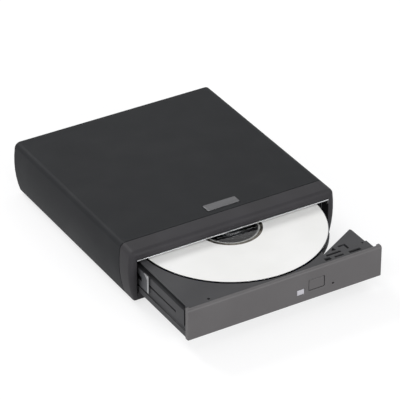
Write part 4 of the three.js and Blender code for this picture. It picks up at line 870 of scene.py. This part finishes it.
def makeDisc(settings):
    low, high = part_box("disc")
    centre = ((low.x + high.x) / 2, (low.y + high.y) / 2)
    bottom, top, outer = low.z, high.z, (high.x - low.x) / 2
    hole, ridge, foot, crest, rise, band, inner, edge, rim = (
        settings[key] * mm for key in ("hole", "ridge", "ridgeFoot", "ridgeTop", "ridgeHeight", "bandInner",
                                       "printInner", "printOuter", "rim"))
    shallow = settings["rimShare"] * rim
    profile = [
        (hole + shallow, top), (ridge - foot, top), (ridge - crest, top - rise), (ridge + crest, top - rise),
        (ridge + foot, top), (band, top), (inner, top), (edge, top), (outer - rim, top),
        (outer - shallow, top - shallow), (outer, top - rim), (outer, bottom + rim),
        (outer - shallow, bottom + shallow), (outer - rim, bottom), (edge, bottom), (inner, bottom),
        (band, bottom), (hole + shallow, bottom), (hole, bottom + shallow), (hole, top - shallow)]
    mesh = lathe("disc", profile, settings["sides"], centre)
    disc = linkPiece("printedDisc", mesh, "spindle", slotOf["disc"], *(finishes[name] for name in discFinishes))
    for face in mesh.polygons:
        radius = math.hypot(face.center.x - centre[0], face.center.y - centre[1])
        upper, finish = face.normal.z > 0, "discClear"
        if inner < radius < edge:
            finish = "discPrint" if upper else "discDye"
        elif band < radius < inner:
            finish = "discBand"
        # the ridge's top takes the light grey of a painted highlight
        elif abs(radius - ridge) < foot and upper:
            finish = "discRidge"
        face.material_index = discFinishes.index(finish)
    smoothMesh(mesh, settings["sharpAngle"])
    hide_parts("disc")


makeDisc(discSettings)
print("disc made")

# Floor, backdrop and lamps; lengths in mm, power in watts
stageSettings = {
    "floor": (160, 160, 161),
    "floorRough": 0.9,
    "floorLift": 0.69,        # how far the floor is lifted towards white where the camera sees it
    "floorSize": 6000,
    "world": 0.55,
    "lamps": {
        "key": {"size": (600, 450), "power": 10.5, "place": (-300, 1250, 1050), "aim": (0, -20, 20)},
        "fill": {"size": (1100, 600), "power": 14.0, "place": (150, -1500, 520), "aim": (0, -60, 20)},
        "side": {"size": (700, 500), "power": 8.0, "place": (-1500, -250, 420), "aim": (0, 20, 20)},
    },
}
white = (1, 1, 1, 1)


# 1 where the camera looks, straight or by way of a reflection or clear plastic, and 0 for light that falls on things
def seenByCamera(tree):
    paths = addNode(tree, "ShaderNodeLightPath").outputs
    seen = calculate(tree, "MAXIMUM", paths["Is Camera Ray"], paths["Is Glossy Ray"])
    return calculate(tree, "MAXIMUM", seen, paths["Is Transmission Ray"])


def makeFloor(settings):
    size = settings["floorSize"] * mm
    corners = [(-size, -size, 0), (size, -size, 0), (size, size, 0), (-size, size, 0)]
    mesh = bpy.data.meshes.new("floor")
    mesh.from_pydata(corners, [], [(0, 1, 2, 3)])
    floor = bpy.data.objects.new("floor", mesh)
    bpy.context.scene.collection.objects.link(floor)
    material, tree, shader = newMaterial("paleFloor")
    setInputs(shader, {"Base Color": toLinear(*settings["floor"]), "Roughness": settings["floorRough"],
                       "Specular IOR Level": 0.0, "Emission Color": white})
    lift = calculate(tree, "MULTIPLY", seenByCamera(tree), settings["floorLift"])
    tree.links.new(lift, shader.inputs["Emission Strength"])
    mesh.materials.append(material)


def makeWorld(settings):
    world = bpy.data.worlds.new("studio")
    bpy.context.scene.world = world
    world.use_nodes = True
    tree = world.node_tree
    tree.nodes.clear()
    lighting = addNode(tree, "ShaderNodeBackground", {"Color": white, "Strength": settings["world"]})
    backdrop = addNode(tree, "ShaderNodeBackground", {"Color": white})
    mix = addNode(tree, "ShaderNodeMixShader")
    for index, output in enumerate((seenByCamera(tree), lighting.outputs[0], backdrop.outputs[0])):
        tree.links.new(output, mix.inputs[index])
    tree.links.new(mix.outputs[0], addNode(tree, "ShaderNodeOutputWorld").inputs["Surface"])


def addLamp(name, lamp):
    data = bpy.data.lights.new(name, "AREA")
    data.shape = "RECTANGLE"
    data.size, data.size_y = (length * mm for length in lamp["size"])
    data.energy = lamp["power"]
    light = bpy.data.objects.new(name, data)
    bpy.context.scene.collection.objects.link(light)
    place = Vector(lamp["place"]) * mm
    turn = (Vector(lamp["aim"]) * mm - place).to_track_quat("-Z", "Y")
    light.matrix_world = Matrix.Translation(place) @ turn.to_matrix().to_4x4()


makeFloor(stageSettings)
makeWorld(stageSettings)
for name, lamp in stageSettings["lamps"].items():
    addLamp(name, lamp)
bpy.context.scene.view_settings.view_transform = "Standard"
print("stage set")
